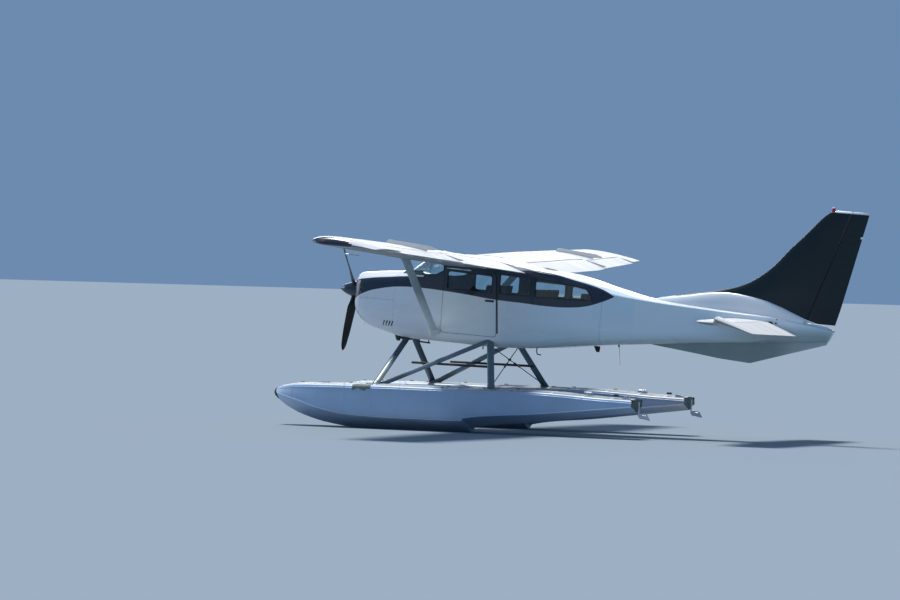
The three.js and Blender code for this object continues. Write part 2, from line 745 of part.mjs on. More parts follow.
function buildPropeller() {
  const { hubFront, hubEnd, hubRadius, firstBlade } = propeller;
  const hub = rod([hubFront, 0, 0], [hubEnd, 0, 0], hubRadius, 24);
  const plate = rod([spinnerRear + seatGap, 0, 0], [spinnerRear + backPlate.depth, 0, 0], backPlate.radius, 32);
  const angles = [0, 120, 240].map((step) => firstBlade + step);
  const blades = angles.map((angle) => solidOf(bladeGeometry(angle, 0)));
  const slots = angles.map((angle) => solidOf(bladeGeometry(angle, bladeSlotGap)));
  const outer = spinnerRows.map(([x, radius]) => new THREE.Vector2(radius, x));
  const inner = spinnerRows.slice(1).map(([x, radius]) => new THREE.Vector2(radius - spinnerWall, x));
  const axisEnds = [new THREE.Vector2(0, 0), new THREE.Vector2(0, spinnerTipDepth)];
  const profile = [axisEnds[0], ...outer, ...inner.reverse(), axisEnds[1]];
  const shell = new THREE.LatheGeometry(profile, 32);
  shell.rotateZ(-Math.PI / 2);
  return {
    propeller: join([hub, plate, ...blades]),
    spinner: cut(solidOf(shell), slots),
  };
}

// Tail: hollow cone, fin, rudder, tailplane halves, elevator and ventral fin
const tailHollowEnd = 7900;
const tailOuter = body(cabinEnd + seatGap, tailEnd);
const tailSkinGrown = body(cabinEnd + seatGap, tailEnd, seatGap);

function symmetricRing(lead, trail, thickness, at) {
  const chord = trail - lead;
  return aerofoil(thickness / chord, false).map(([share, height]) => at(lead + share * chord, height * chord));
}

function surfaceHalf(rows, value, x) {
  const [, lead, trail, thickness] = rowAt(rows, value);
  return halfThickness((x - lead) / (trail - lead)) * thickness;
}

function buildFinAndRudder() {
  const whole = solidOf(loft(finRows.map(([z, lead, trail, thickness]) => (
    symmetricRing(lead, trail, thickness, (x, height) => [x, height, z])
  ))));
  const { bottomX, bottomZ, topX, topZ, clearZ, pinBelow } = rudder;
  const hinge = [[bottomX, 0, bottomZ], [topX, 0, topZ]];
  const radii = [[bottomZ, bottomX], [topZ, topX]].map(([z, x]) => surfaceHalf(finRows, z, x));
  const slope = (topX - bottomX) / (topZ - bottomZ);
  const aft = (shift, lowZ) => {
    const ring = (z) => {
      const x = bottomX + slope * (z - bottomZ) + shift;
      return [[x, -beyond, z], [x, beyond, z], [x + beyond, beyond, z], [x + beyond, -beyond, z]];
    };
    return solidOf(loft([ring(lowZ), ring(2 * topZ)]));
  };
  const finTop = finRows[finRows.length - 1][0];
  const height = box([0, beyond], [-beyond, beyond], [clearZ, finTop - 2]);
  const nose = solidOf(barrel(hinge, radii, -1, 30)).intersect(height);
  const pin = rod(pointOn(hinge, -pinBelow), pointOn(hinge, 90), rudder.pin);
  const moving = join([whole.intersect(aft(0, clearZ)), nose, pin]);
  const cove = join([aft(lipShift, -beyond), solidOf(barrel(hinge, radii, runningGap, 80))]);
  const pinBore = rod(pointOn(hinge, -pinBelow - seatGap), pointOn(hinge, 90), rudder.pin + seatGap, 20);
  return { fin: keepLargest(cut(whole, [cove, tailSkinGrown])), rudder: moving, pinBore };
}

function pointOn(line, along) {
  const [start, end] = line.map((point) => new THREE.Vector3(...point));
  const direction = end.clone().sub(start).normalize();
  return start.addScaledVector(direction, along).toArray();
}

function buildTailplane(side) {
  const whole = solidOf(loft(tailplaneRows.map(([y, lead, trail, thickness]) => (
    symmetricRing(lead, trail, thickness, (x, height) => [x, side * y, tailplaneZ + height])
  ))));
  const { hingeX, inner, hornY, hornReach } = elevator;
  const outerY = tailplaneRows[1][0];
  const everyZ = [-beyond, beyond];
  const hinge = [[hingeX, side * inner, tailplaneZ], [hingeX, side * outerY, tailplaneZ]];
  const radii = [inner, outerY].map((y) => surfaceHalf(tailplaneRows, y, hingeX));
  const behind = box([hingeX, beyond], sided(side, inner, beyond), everyZ);
  const hornSpace = (gap) => rod(
    [hingeX, side * (hornY - gap), tailplaneZ],
    [hingeX, side * beyond, tailplaneZ],
    hornReach + gap,
    32,
  );
  const nose = solidOf(barrel(hinge, radii, -1, 0));
  const moving = join([whole.intersect(behind), whole.intersect(hornSpace(0)), nose]);
  const clearance = [
    box([hingeX + lipShift, beyond], sided(side, 0, beyond), everyZ),
    solidOf(barrel(hinge, radii, runningGap, 200)),
    hornSpace(endGap),
  ];
  const fixed = cut(whole, [...clearance, tailSkinGrown]);
  return { fixed: keepLargest(fixed), moving };
}

const ventralFin = {
  halfThickness: 18,
  radius: 14,
  outline: [
    [5300, -360], [5300, -412], [5950, -476], [6410, -525], [6900, -552],
    [7470, -366], [8086, -168], [8118, -90],
  ],
};

function buildVentralFin() {
  const { outline, radius, halfThickness: half } = ventralFin;
  return keepLargest(cut(sidePrism(outline, radius, [-half, half]), [tailSkinGrown]));
}

function buildTail() {
  const { hingeX, inner, tube, rest } = elevator;
  const halves = { right: buildTailplane(1), left: buildTailplane(-1) };
  const axleAt = (y) => [[hingeX, -y, tailplaneZ], [hingeX, y, tailplaneZ]];
  const axle = axleAt(inner + 20);
  const torqueTube = rod(...axle, tube, 20);
  const tubeHole = rod(...axleAt(beyond), tube + seatGap, 20);
  const hollow = body(cabinEnd - 100, tailHollowEnd, -tailWall);
  const elevatorFlat = join([halves.left.moving, halves.right.moving, torqueTube]);
  const { fin, rudder: rudderSolid, pinBore } = buildFinAndRudder();
  const [upper, lower] = tailEndLine;
  const behindEnd = sidePrism([lower, [2 * tailEnd, lower[1]], [2 * tailEnd, upper[1]], upper], 1, [-beyond, beyond]);
  return {
    fin,
    rudder: rudderSolid,
    tail_cone: cut(tailOuter, [hollow, tubeHole, pinBore, behindEnd]),
    tailplane_left: halves.left.fixed,
    tailplane_right: halves.right.fixed,
    elevator: turnedAbout(elevatorFlat, axle, rest),
    ventral_fin: buildVentralFin(),
  };
}

// Inside of the cabin: floor, panel with two control wheels, seats and rear bulkhead
const floorTop = -545;
const bulkhead = [cabinEnd - 50, cabinEnd - 30];
const panelBoard = { x: [1540, 1575], z: [-40, 330] };
const pedestal = { x: [1480, 1560], halfWidth: 90, top: 0 };
const controlWheel = { y: 270, x: [1728, 1750], z: [112, 150], hornTop: 240, half: 150, hornWidth: 30, column: 16 };

function buildFloor() {
  return cabinSpace.intersect(box([firewallX + 14, cabinEnd - 60], bothSides, [-beyond, floorTop]));
}

function buildControlWheel(side) {
  const { x, z, hornTop, half, hornWidth, column } = controlWheel;
  const y = side * controlWheel.y;
  const horns = [-1, 1].map((end) => {
    const [low, high] = sided(end, half - hornWidth, half);
    return box(x, [y + low, y + high], [z[0], hornTop]);
  });
  const columnRod = rod([panelBoard.x[0] + 20, y, z[1]], [x[1] - 10, y, z[1] - 20], column);
  return join([columnRod, box(x, [y - half, y + half], z), ...horns]);
}

function buildPanel() {
  const board = box(panelBoard.x, bothSides, panelBoard.z).intersect(cabinSpace);
  const { halfWidth, top } = pedestal;
  const stand = box(pedestal.x, [-halfWidth, halfWidth], [floorTop + seatGap, top]);
  return join([board, stand, buildControlWheel(-1), buildControlWheel(1)]);
}

// Seats. Columns: name, x of the cushion's front, y of its middle, width
const seatRows = [
  ['seat_front_left', 2170, -270, 440],
  ['seat_front_right', 2170, 270, 440],
  ['seat_middle_left', 2960, -265, 420],
  ['seat_middle_right', 2960, 265, 420],
  ['bench_rear', 3720, 0, 860],
];

// A seat's side views, x aft of the cushion's front
const seatSide = {
  radius: 30,
  cushion: [[0, -310], [480, -310], [480, -210], [0, -190]],
  back: [[400, -320], [510, -320], [600, 300], [500, 300]],
  frame: [[60, floorTop + seatGap], [420, floorTop + seatGap], [420, -290], [60, -290]],
  frameInset: 50,
};

function buildSeat(x, y, width) {
  const { radius, cushion, back, frame, frameInset } = seatSide;
  const half = width / 2;
  const shifted = (outline) => outline.map(([along, z]) => [x + along, z]);
  const pieces = [
    sidePrism(shifted(cushion), radius, [y - half, y + half]),
    sidePrism(shifted(back), radius, [y - half, y + half]),
    sidePrism(shifted(frame), 1, [y - half + frameInset, y + half - frameInset]),
  ];
  return join(pieces).intersect(cabinSpace);
}

function buildBulkhead() {
  return cabinSpace.intersect(box(bulkhead, bothSides, [-beyond, beyond]));
}

// Floats: V-bottomed hulls with a step, a flat keel shoe and a bracket for the water rudder
function floatRing([x, deck, chine, keel, deckHalf, chineHalf], side, grow) {
  const share = Math.min(1, deckHalf / roundedFrom);
  const half = [
    [keelHalfWidth, keel - grow],
    [chineHalf + grow, chine - grow],
    [chineHalf + grow, chine + sideKnee * (deck - chine)],
    [deckHalf + grow, deck - deckEdge * share],
    [deckHalf - deckEdge * share, deck + grow],
    [0, deck + grow + deckCrown * share],
  ];
  const other = half.slice(0, -1).reverse().map(([y, z]) => [-y, z]);
  return [...half, ...other].map(([y, z]) => [x, side * floatSpacing + y, z]);
}

function floatHull(side, grow = 0) {
  return solidOf(loft(floatRows.map((row) => floatRing(row, side, grow))));
}

function buildFloat(side) {
  const y = side * floatSpacing;
  const pads = cleatPads.map(([x, padTop]) => (
    box([x - padHalf.x, x + padHalf.x], [y - padHalf.y, y + padHalf.y], [padTop - padDepth, padTop])
  ));
  const { postX, top, radius, bottom } = waterRudder;
  const carriers = Object.values(rudderCarriers).map(({ halfWidth, above, depth, aft }) => (
    box([rudderCarrierFront, postX + aft], [y - halfWidth, y + halfWidth], [top + above, top + above + depth])
  ));
  const bore = rod([postX, y, bottom], [postX, y, top + seatGap], radius + seatGap, 16);
  return join([floatHull(side), ...pads, ...carriers.map((carrier) => carrier.subtract(bore))]);
}

function buildWaterRudder(side) {
  const y = side * floatSpacing;
  const { postX, radius, top, bottom, reach, halfThickness: half } = waterRudder;
  const post = rod([postX, y, bottom + 60], [postX, y, top], radius, 16);
  const blade = sidePrism(
    [[postX, top - 175], [postX + reach - 60, top - 175], [postX + reach, bottom], [postX, bottom + 40]],
    14,
    [y - half, y + half],
  );
  return join([post, blade]);
}

const toFloorFrame = new THREE.Matrix4()
  .makeTranslation(0, 0, thrustHeight)
  .multiply(new THREE.Matrix4().makeRotationY(nosePitch));

const bodySkinAtFloor = placed(bodyGeometry(noseFront, cabinEnd, seatGap), toFloorFrame);

function buildGear() {
  const floats = { left: floatHull(-1, seatGap), right: floatHull(1, seatGap) };
  const pieces = {};
  const names = { left: -1, right: 1 };
  Object.entries(names).forEach(([word, side]) => {
    const [front, rear, diagonal] = gearRows;
    const ends = [bodySkinAtFloor, floats[word]];
    pieces[`${front[0]}_${word}`] = keepLargest(cut(gearStrut(front, side), ends));
    pieces[`${rear[0]}_${word}`] = keepLargest(cut(gearStrut(rear, side), ends));
    const seats = [front, rear].map((row) => gearStrut(row, side, seatGap));
    pieces[`${diagonal[0]}_${word}`] = keepLargest(cut(gearStrut(diagonal, side), [...ends, ...seats]));
    pieces[`boarding_step_${word}`] = buildStep(side);
  });
  const { z, halfLength, chord, thickness } = spreaderBar;
  ['front', 'rear'].forEach((word, i) => {
    const x = gearRows[i][1][0];
    const bar = strut([x, -halfLength, z], [x, halfLength, z], chord, thickness);
    pieces[`spreader_bar_${word}`] = keepLargest(cut(bar, [floats.left, floats.right]));
  });
  return pieces;
}

// A float strut on one side, grown all round by some millimetres
function gearStrut([, low, high, chord, thickness], side, grow = 0) {
  return strut(mirrored(low, side), mirrored(high, side), chord + 2 * grow, thickness + 2 * grow);
}

// The boarding step lies against the diagonal's inner face and ends at the rear strut
function buildStep(side) {
  const { front, rear, radius } = boardingStep;
  const tube = rod(mirrored(front, side), mirrored(rear, side), radius, 12);
  return keepLargest(cut(tube, gearRows.slice(1).map((row) => gearStrut(row, side, seatGap))));
}

// Crossed bracing wires between the rear struts
function buildBrace() {
  const { top, bottom, radius } = braceWire;
  const wires = [-1, 1].map((side) => rod(mirrored(top, side), mirrored(bottom, side), radius, 8));
  const stops = [-1, 1].map((side) => gearStrut(gearRows[1], side, seatGap));
  return keepLargest(cut(join(wires), [...stops, bodySkinAtFloor]));
}

function addAll(group, pieces, paintFor) {
  Object.entries(pieces).forEach(([name, solid]) => {
    group.add(meshOf(name, solid, paintFor(name)));
  });
}

const airframe = new THREE.Group();
airframe.position.set(-middleBehindSpinner, 0, thrustHeight);
airframe.rotation.y = nosePitch;

addAll(airframe, buildNose(), (name) => (name === 'firewall' ? 'steel' : 'white'));
addAll(airframe, { engine_block: buildEngine(), exhaust_pipe: buildExhaust() }, () => 'black');
addAll(airframe, buildPropeller(), () => 'charcoal');
addAll(airframe, { cabin_shell: cabin.shell, ...cabin.doors }, () => 'white');
addAll(airframe, cabin.panes, () => 'glass');
addAll(airframe, {
  cabin_floor: buildFloor(),
  instrument_panel: buildPanel(),
  rear_bulkhead: buildBulkhead(),
}, () => 'interior');
seatRows.forEach(([name, x, y, width]) => {
  airframe.add(meshOf(name, buildSeat(x, y, width), 'leather'));
});
[['left', -1], ['right', 1]].forEach(([word, side]) => {
  const { wing, flap: flapSolid, aileron: aileronSolid } = wings[word];
  addAll(airframe, {
    [`wing_${word}`]: wing,
    [`flap_${word}`]: flapSolid,
    [`aileron_${word}`]: aileronSolid,
  }, () => 'white');
  airframe.add(meshOf(`wing_strut_${word}`, buildWingStrut(side), 'strutGrey'));
});
const dark = ['fin', 'rudder'];
addAll(airframe, buildTail(), (name) => (dark.includes(name) ? 'charcoal' : 'white'));

const floatGear = new THREE.Group();
floatGear.position.set(-middleBehindSpinner, 0, 0);
addAll(floatGear, {
  float_left: buildFloat(-1),
  float_right: buildFloat(1),
  water_rudder_left: buildWaterRudder(-1),
  water_rudder_right: buildWaterRudder(1),
}, (name) => (name.startsWith('water') ? 'steel' : 'floatGrey'));
addAll(floatGear, buildGear(), () => 'strutGrey');
floatGear.add(meshOf('rear_cross_brace', buildBrace(), 'steel'));

const floatplane = new THREE.Group();
floatplane.add(airframe, floatGear);

export default floatplane;
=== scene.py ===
import math

import bmesh
import bpy
import numpy as np
from mathutils import Matrix, Vector


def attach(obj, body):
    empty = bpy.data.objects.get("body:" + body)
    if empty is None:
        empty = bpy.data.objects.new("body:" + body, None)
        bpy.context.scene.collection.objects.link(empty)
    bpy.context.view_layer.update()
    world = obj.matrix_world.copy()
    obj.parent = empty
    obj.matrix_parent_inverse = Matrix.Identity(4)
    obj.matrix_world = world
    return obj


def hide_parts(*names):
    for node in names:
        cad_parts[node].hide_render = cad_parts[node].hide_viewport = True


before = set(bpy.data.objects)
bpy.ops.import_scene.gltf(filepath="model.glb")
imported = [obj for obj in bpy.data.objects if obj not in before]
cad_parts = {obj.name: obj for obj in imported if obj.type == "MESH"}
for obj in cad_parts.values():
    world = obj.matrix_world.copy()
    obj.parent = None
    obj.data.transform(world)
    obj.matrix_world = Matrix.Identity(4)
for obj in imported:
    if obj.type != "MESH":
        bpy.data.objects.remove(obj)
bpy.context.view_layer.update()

# Drawing frames. Tables are in millimetres: x aft of the spinner's tip, y to starboard, and z above
# the thrust line (AIR) or above the floor (GEAR). The matrices turn them into the frame's metres.
MM = Matrix.Scale(0.001, 4)
SPINNER_TIP = -4.083
THRUST_HEIGHT = 2.150
NOSE_PITCH = math.radians(3.41)
GEAR = Matrix.Translation((SPINNER_TIP, 0, 0)) @ MM
AIR = Matrix.Translation((SPINNER_TIP, 0, THRUST_HEIGHT)) @ Matrix.Rotation(NOSE_PITCH, 4, "Y") @ MM
SIDES = (("left", -1), ("right", 1))

# Body sections. Columns: x, top, bottom, half width, top corner y and z, bottom corner y and z
BODY_ROWS = [
    (362, 195, -232, 222, 165, 150, 170, 120),
    (386, 248, -300, 272, 205, 185, 215, 150),
    (412, 272, -350, 325, 235, 200, 230, 170),
    (450, 289, -396, 380, 260, 205, 250, 200),
    (520, 302, -464, 418, 275, 205, 255, 216),
    (650, 318, -530, 450, 280, 200, 250, 220),
    (900, 347, -590, 485, 280, 200, 240, 200),
    (1165, 371, -642, 520, 280, 190, 220, 180),
    (1310, 388, -660, 540, 270, 175, 200, 170),
    (1500, 508, -667, 558, 220, 160, 180, 160),
    (1740, 655, -668, 574, 120, 110, 160, 150),
    (1950, 700, -669, 580, 40, 40, 150, 140),
    (2300, 708, -670, 580, 40, 40, 150, 140),
    (2600, 690, -680, 580, 40, 40, 150, 140),
    (2900, 652, -672, 580, 40, 40, 150, 140),
    (3400, 576, -645, 580, 40, 30, 150, 140),
    (3800, 552, -600, 568, 180, 36, 150, 140),
    (4140, 505, -546, 545, 260, 42, 160, 150),
    (4490, 430, -500, 500, 300, 60, 170, 160),
    (4690, 392, -476, 468, 320, 90, 170, 160),
    (5240, 294, -414, 378, 300, 40, 160, 150),
    (6250, 230, -300, 225, 190, 36, 110, 110),
    (7200, 190, -214, 140, 60, 40, 70, 80),
    (7750, 126, -165, 92, 50, 40, 50, 60),
    (8190, 62, -108, 46, 34, 34, 34, 34),
]
# The slanting line that the tail ends at, from above the cone to below it
TAIL_END_LINE = ((8200, 82), (8076, -188))
FIREWALL_X = 1165
FIREWALL_DEPTH = 12
BOWL_END = 520
COWL_SPLIT_Z = -100
CABIN_END = 4600
TAIL_END = 8190
TAIL_HOLLOW_END = 7900
COWL_WALL = 20
CABIN_WALL = 30
TAIL_WALL = 25
GLASS_DEPTH = 12
GLASS_THICKNESS = 6
SEAM = 1.5
# How far what sits on the skin is cut clear of it
SKIN_CLEARANCE = 0.3
# Further out than any piece, for tools that cut away everything on one side
BEYOND = 3000

# Side views of the openings: x, z of each corner
OPENINGS = {
    "pilot_door": [(2000, -520), (2948, -520), (2866, 470), (2000, 488)],
    "pilot_window": [(2062, 165), (2808, 160), (2808, 418), (2062, 440)],
    "middle_window": [(2940, 165), (3452, 165), (3452, 450), (2940, 470)],
    "rear_window": [(3530, 165), (4415, 180), (4452, 215), (4330, 366), (3530, 438)],
    "cargo_front": [(2950, -520), (3646, -520), (3646, 412), (2950, 424)],
    "cargo_front_window": [(3010, 165), (3590, 165), (3590, 362), (3010, 372)],
    "cargo_rear": [(3652, -495), (4090, -440), (4090, 350), (3652, 411)],
    "cargo_rear_window": [(3708, 168), (4030, 175), (4030, 305), (3708, 355)],
    "aft_window": [(4150, 178), (4415, 182), (4452, 215), (4330, 366), (4150, 380)],
    "windshield": [
        (1250, 345), (1500, 345), (1690, 340), (1860, 364), (1985, 438),
        (1985, 520), (1770, 575), (1742, 642), (1700, 760), (1200, 760),
    ],
}
LEFT_SKIN = (-700, -400)
RIGHT_SKIN = (400, 700)
BOTH_SKINS = (-700, 700)


# Shapes: each is a pair of points and faces in one of the drawing frames

def table_at(rows, places, smooth=True):
    """The rows of a table at other values of its first column, on monotone curves or straight lines."""
    table = np.array(rows, float)
    x, y = table[:, 0], table[:, 1:]
    places = np.asarray(places, float)
    slope = np.diff(y, axis=0) / np.diff(x)[:, None]
    before, after = slope[:-1], slope[1:]
    same_way = before * after > 0
    total = np.where(same_way, before + after, 1)
    tangent = np.zeros_like(y)
    tangent[1:-1] = np.where(same_way, 2 * before * after / total, 0)
    tangent[0], tangent[-1] = slope[0], slope[-1]
    low = np.clip(np.searchsorted(x, places, side="right") - 1, 0, len(x) - 2)
    span = (x[low + 1] - x[low])[:, None]
    t = (places[:, None] - x[low][:, None]) / span
    if not smooth:
        return y[low] + t * (y[low + 1] - y[low])
    start = (1 + 2 * t) * (1 - t) ** 2 * y[low] + t * (1 - t) ** 2 * span * tangent[low]
    end = t * t * (3 - 2 * t) * y[low + 1] - t * t * (1 - t) * span * tangent[low + 1]
    return start + end


def spaced(start, end, step):
    """Evenly spaced values from start to end, about one step apart."""
    return np.linspace(start, end, max(2, round(abs(end - start) / step) + 1))


def loft(rings):
    """A closed body through rings of equally many points, with a flat face at each end."""
    rings = np.asarray(rings, float)
    count, sides = rings.shape[:2]
    faces = []
    for ring in range(count - 1):
        for i in range(sides):
            a, b = ring * sides + i, ring * sides + (i + 1) % sides
            faces.append((a, b, b + sides, a + sides))
    faces.append(tuple(range(sides))[::-1])
    faces.append(tuple(range((count - 1) * sides, count * sides)))
    return rings.reshape(-1, 3), faces


def looped(rings):
    """A closed body through rings that come back to the first one, such as a tube with a wall."""
    rings = np.asarray(rings, float)
    count, sides = rings.shape[:2]
    faces = []
    for ring in range(count):
        following = (ring + 1) % count
        for i in range(sides):
            j = (i + 1) % sides
            a, b = ring * sides, following * sides
            faces.append((a + i, a + j, b + j, b + i))
    return rings.reshape(-1, 3), faces


def rounded(points, radius, steps=6):
    """An outline with its corners rounded."""
    corners = [Vector(point) for point in points]
    outline = []
    for i, corner in enumerate(corners):
        arms = []
        for other in (corners[i - 1], corners[(i + 1) % len(corners)]):
            edge = other - corner
            arms.append(corner + edge.normalized() * min(radius, 0.45 * edge.length))
        for t in np.linspace(0, 1, steps + 1):
            outline.append((1 - t) ** 2 * arms[0] + 2 * t * (1 - t) * corner + t * t * arms[1])
    return outline


def inset(points, distance):
    """An outline with each edge moved inwards, or outwards where the distance is negative."""
    corners = [Vector(point) for point in points]
    following = corners[1:] + corners[:1]
    area = sum(a.x * b.y - b.x * a.y for a, b in zip(corners, following))
    lines = []
    for a, b in zip(corners, following):
        along = (b - a).normalized()
        normal = Vector((-along.y, along.x)) * math.copysign(1, area)
        lines.append((normal, normal.dot(a) + distance))
    moved = []
    for i, (normal, offset) in enumerate(lines):
        last, last_offset = lines[i - 1]
        scale = last.x * normal.y - last.y * normal.x
        x = (last_offset * normal.y - offset * last.y) / scale
        z = (last.x * offset - normal.x * last_offset) / scale
        moved.append((x, z))
    return moved


def prism(outline, ends):
    """A side-view outline carried across the body, from one y to another."""
    return loft([[(x, y, z) for x, z in outline] for y in ends])


def box(x, y, z):
    return prism([(x[0], z[0]), (x[1], z[0]), (x[1], z[1]), (x[0], z[1])], y)


def basis(start, end, across):
    """The matrix that carries +Z onto a line, with +X as near to a wanted direction as it can be."""
    along = (Vector(end) - Vector(start)).normalized()
    side = Vector(across)
    side = (side - along * side.dot(along)).normalized()
    third = along.cross(side)
    turned = Matrix((side, third, along)).transposed().to_4x4()
    turned.translation = Vector(start)
    return turned


def swept(profile, stations, start, end, across=(1, 0, 0)):
    """A closed profile carried along a line. Stations: share of the length, scale of the profile."""
    place = basis(start, end, across)
    length = (Vector(end) - Vector(start)).length
    return loft([
        [place @ Vector((x * scale, y * scale, share * length)) for x, y in profile]
        for share, scale in stations
    ])


def circle(radius, sides, flatten=1.0):
    angles = np.arange(sides) * 2 * math.pi / sides
    return [(radius * math.cos(a), radius * flatten * math.sin(a)) for a in angles]


def rod(start, end, radius, sides=16, end_radius=None):
    ratio = 1 if end_radius is None else end_radius / radius
    return swept(circle(radius, sides), [(0, 1), (1, ratio)], start, end, (1, 0.01, 0.02))


def capsule(start, end, radius, sides=14):
    """A rod with rounded ends."""
    length = (Vector(end) - Vector(start)).length
    cap = min(radius / length, 0.5)
    rise = [(1 - math.cos(a), math.sin(a)) for a in np.linspace(0.15, math.pi / 2, 5)]
    stations = [(cap * s, r) for s, r in rise] + [(1 - cap * s, r) for s, r in reversed(rise)]
    return swept(circle(radius, sides), stations, start, end, (1, 0.01, 0.02))


def tube_along(points, radius, sides):
    """A round bar through a list of points."""
    path = [Vector(point) for point in points]
    rings = []
    for i, point in enumerate(path):
        ahead = path[min(i + 1, len(path) - 1)] - path[max(i - 1, 0)]
        upright = abs(ahead.normalized().z) >= 0.9
        place = basis(point, point + ahead, (1, 0, 0) if upright else (0.1, 0.3, 1))
        rings.append([place @ Vector((x, y, 0)) for x, y in circle(radius, sides)])
    return loft(rings)


def dome(centre, normal, radius, height, sides, rings):
    """A low round cap on a surface."""
    place = basis(centre, Vector(centre) + Vector(normal), (1, 0.2, 0.1))
    levels = [(1, -0.15)] + [(math.cos(a), math.sin(a)) for a in np.linspace(0, 1.35, rings + 1)]
    return loft([
        [place @ Vector((x * wide, y * wide, high * height)) for x, y in circle(radius, sides)]
        for wide, high in levels
    ])


def merged(forms):
    """Several shapes as one."""
    points, faces, offset = [], [], 0
    for form_points, form_faces in forms:
        points.append(np.asarray(form_points, float))
        faces += [tuple(i + offset for i in face) for face in form_faces]
        offset += len(form_points)
    return np.concatenate(points), faces


# Objects

def solid(form, place, name="part"):
    """A shape as an object, with its faces turned outwards."""
    points, faces = form
    mesh = bpy.data.meshes.new(name)
    mesh.from_pydata([place @ Vector(point) for point in points], [], faces)
    work = bmesh.new()
    work.from_mesh(mesh)
    bmesh.ops.recalc_face_normals(work, faces=work.faces)
    work.to_mesh(mesh)
    work.free()
    item = bpy.data.objects.new(name, mesh)
    bpy.context.scene.collection.objects.link(item)
    return item


def baked(item):
    """The object with its modifiers applied."""
    graph = bpy.context.evaluated_depsgraph_get()
    mesh = bpy.data.meshes.new_from_object(item.evaluated_get(graph))
    mesh.materials.clear()
    item.modifiers.clear()
    item.data = mesh
    return item


def carve(item, operation, *tools):
    """Joins, cuts or intersects an object with others, which are used up."""
    for tool in tools:
        change = item.modifiers.new("carve", "BOOLEAN")
        change.operation = operation
        change.solver = "MANIFOLD"
        change.object = tool
    baked(item)
    for tool in tools:
        bpy.data.objects.remove(tool)
    return item


def piece(item, name, body, material, slot, *replaced, sharp=30):
    """Names an object, gives it its finish and lets it ride on a body."""
    item.name = name
    item.data.name = name
    item.data.polygons.foreach_set("use_smooth", [True] * len(item.data.polygons))
    item.data.set_sharp_from_angle(angle=math.radians(sharp))
    if not item.data.materials:
        item.data.materials.append(material)
    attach(item, body)
    if replaced:
        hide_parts(*replaced)
    return item


def add(forms, place, name, body, material, slot, *replaced, sharp=30):
    """One piece from several shapes."""
    return piece(solid(merged(forms), place), name, body, material, slot, *replaced, sharp=sharp)


# Materials

NAVY = (0.006, 0.018, 0.040)
WHITE = (0.80, 0.83, 0.87)
FLOAT_BLUE = (0.42, 0.55, 0.73)
STRUT_BLUE = (0.20, 0.27, 0.31)
WING_WHITE = (0.75, 0.745, 0.73)
FIN_CHARCOAL = (0.005, 0.015, 0.019)
VENTRAL_GREY = (0.27, 0.36, 0.36)


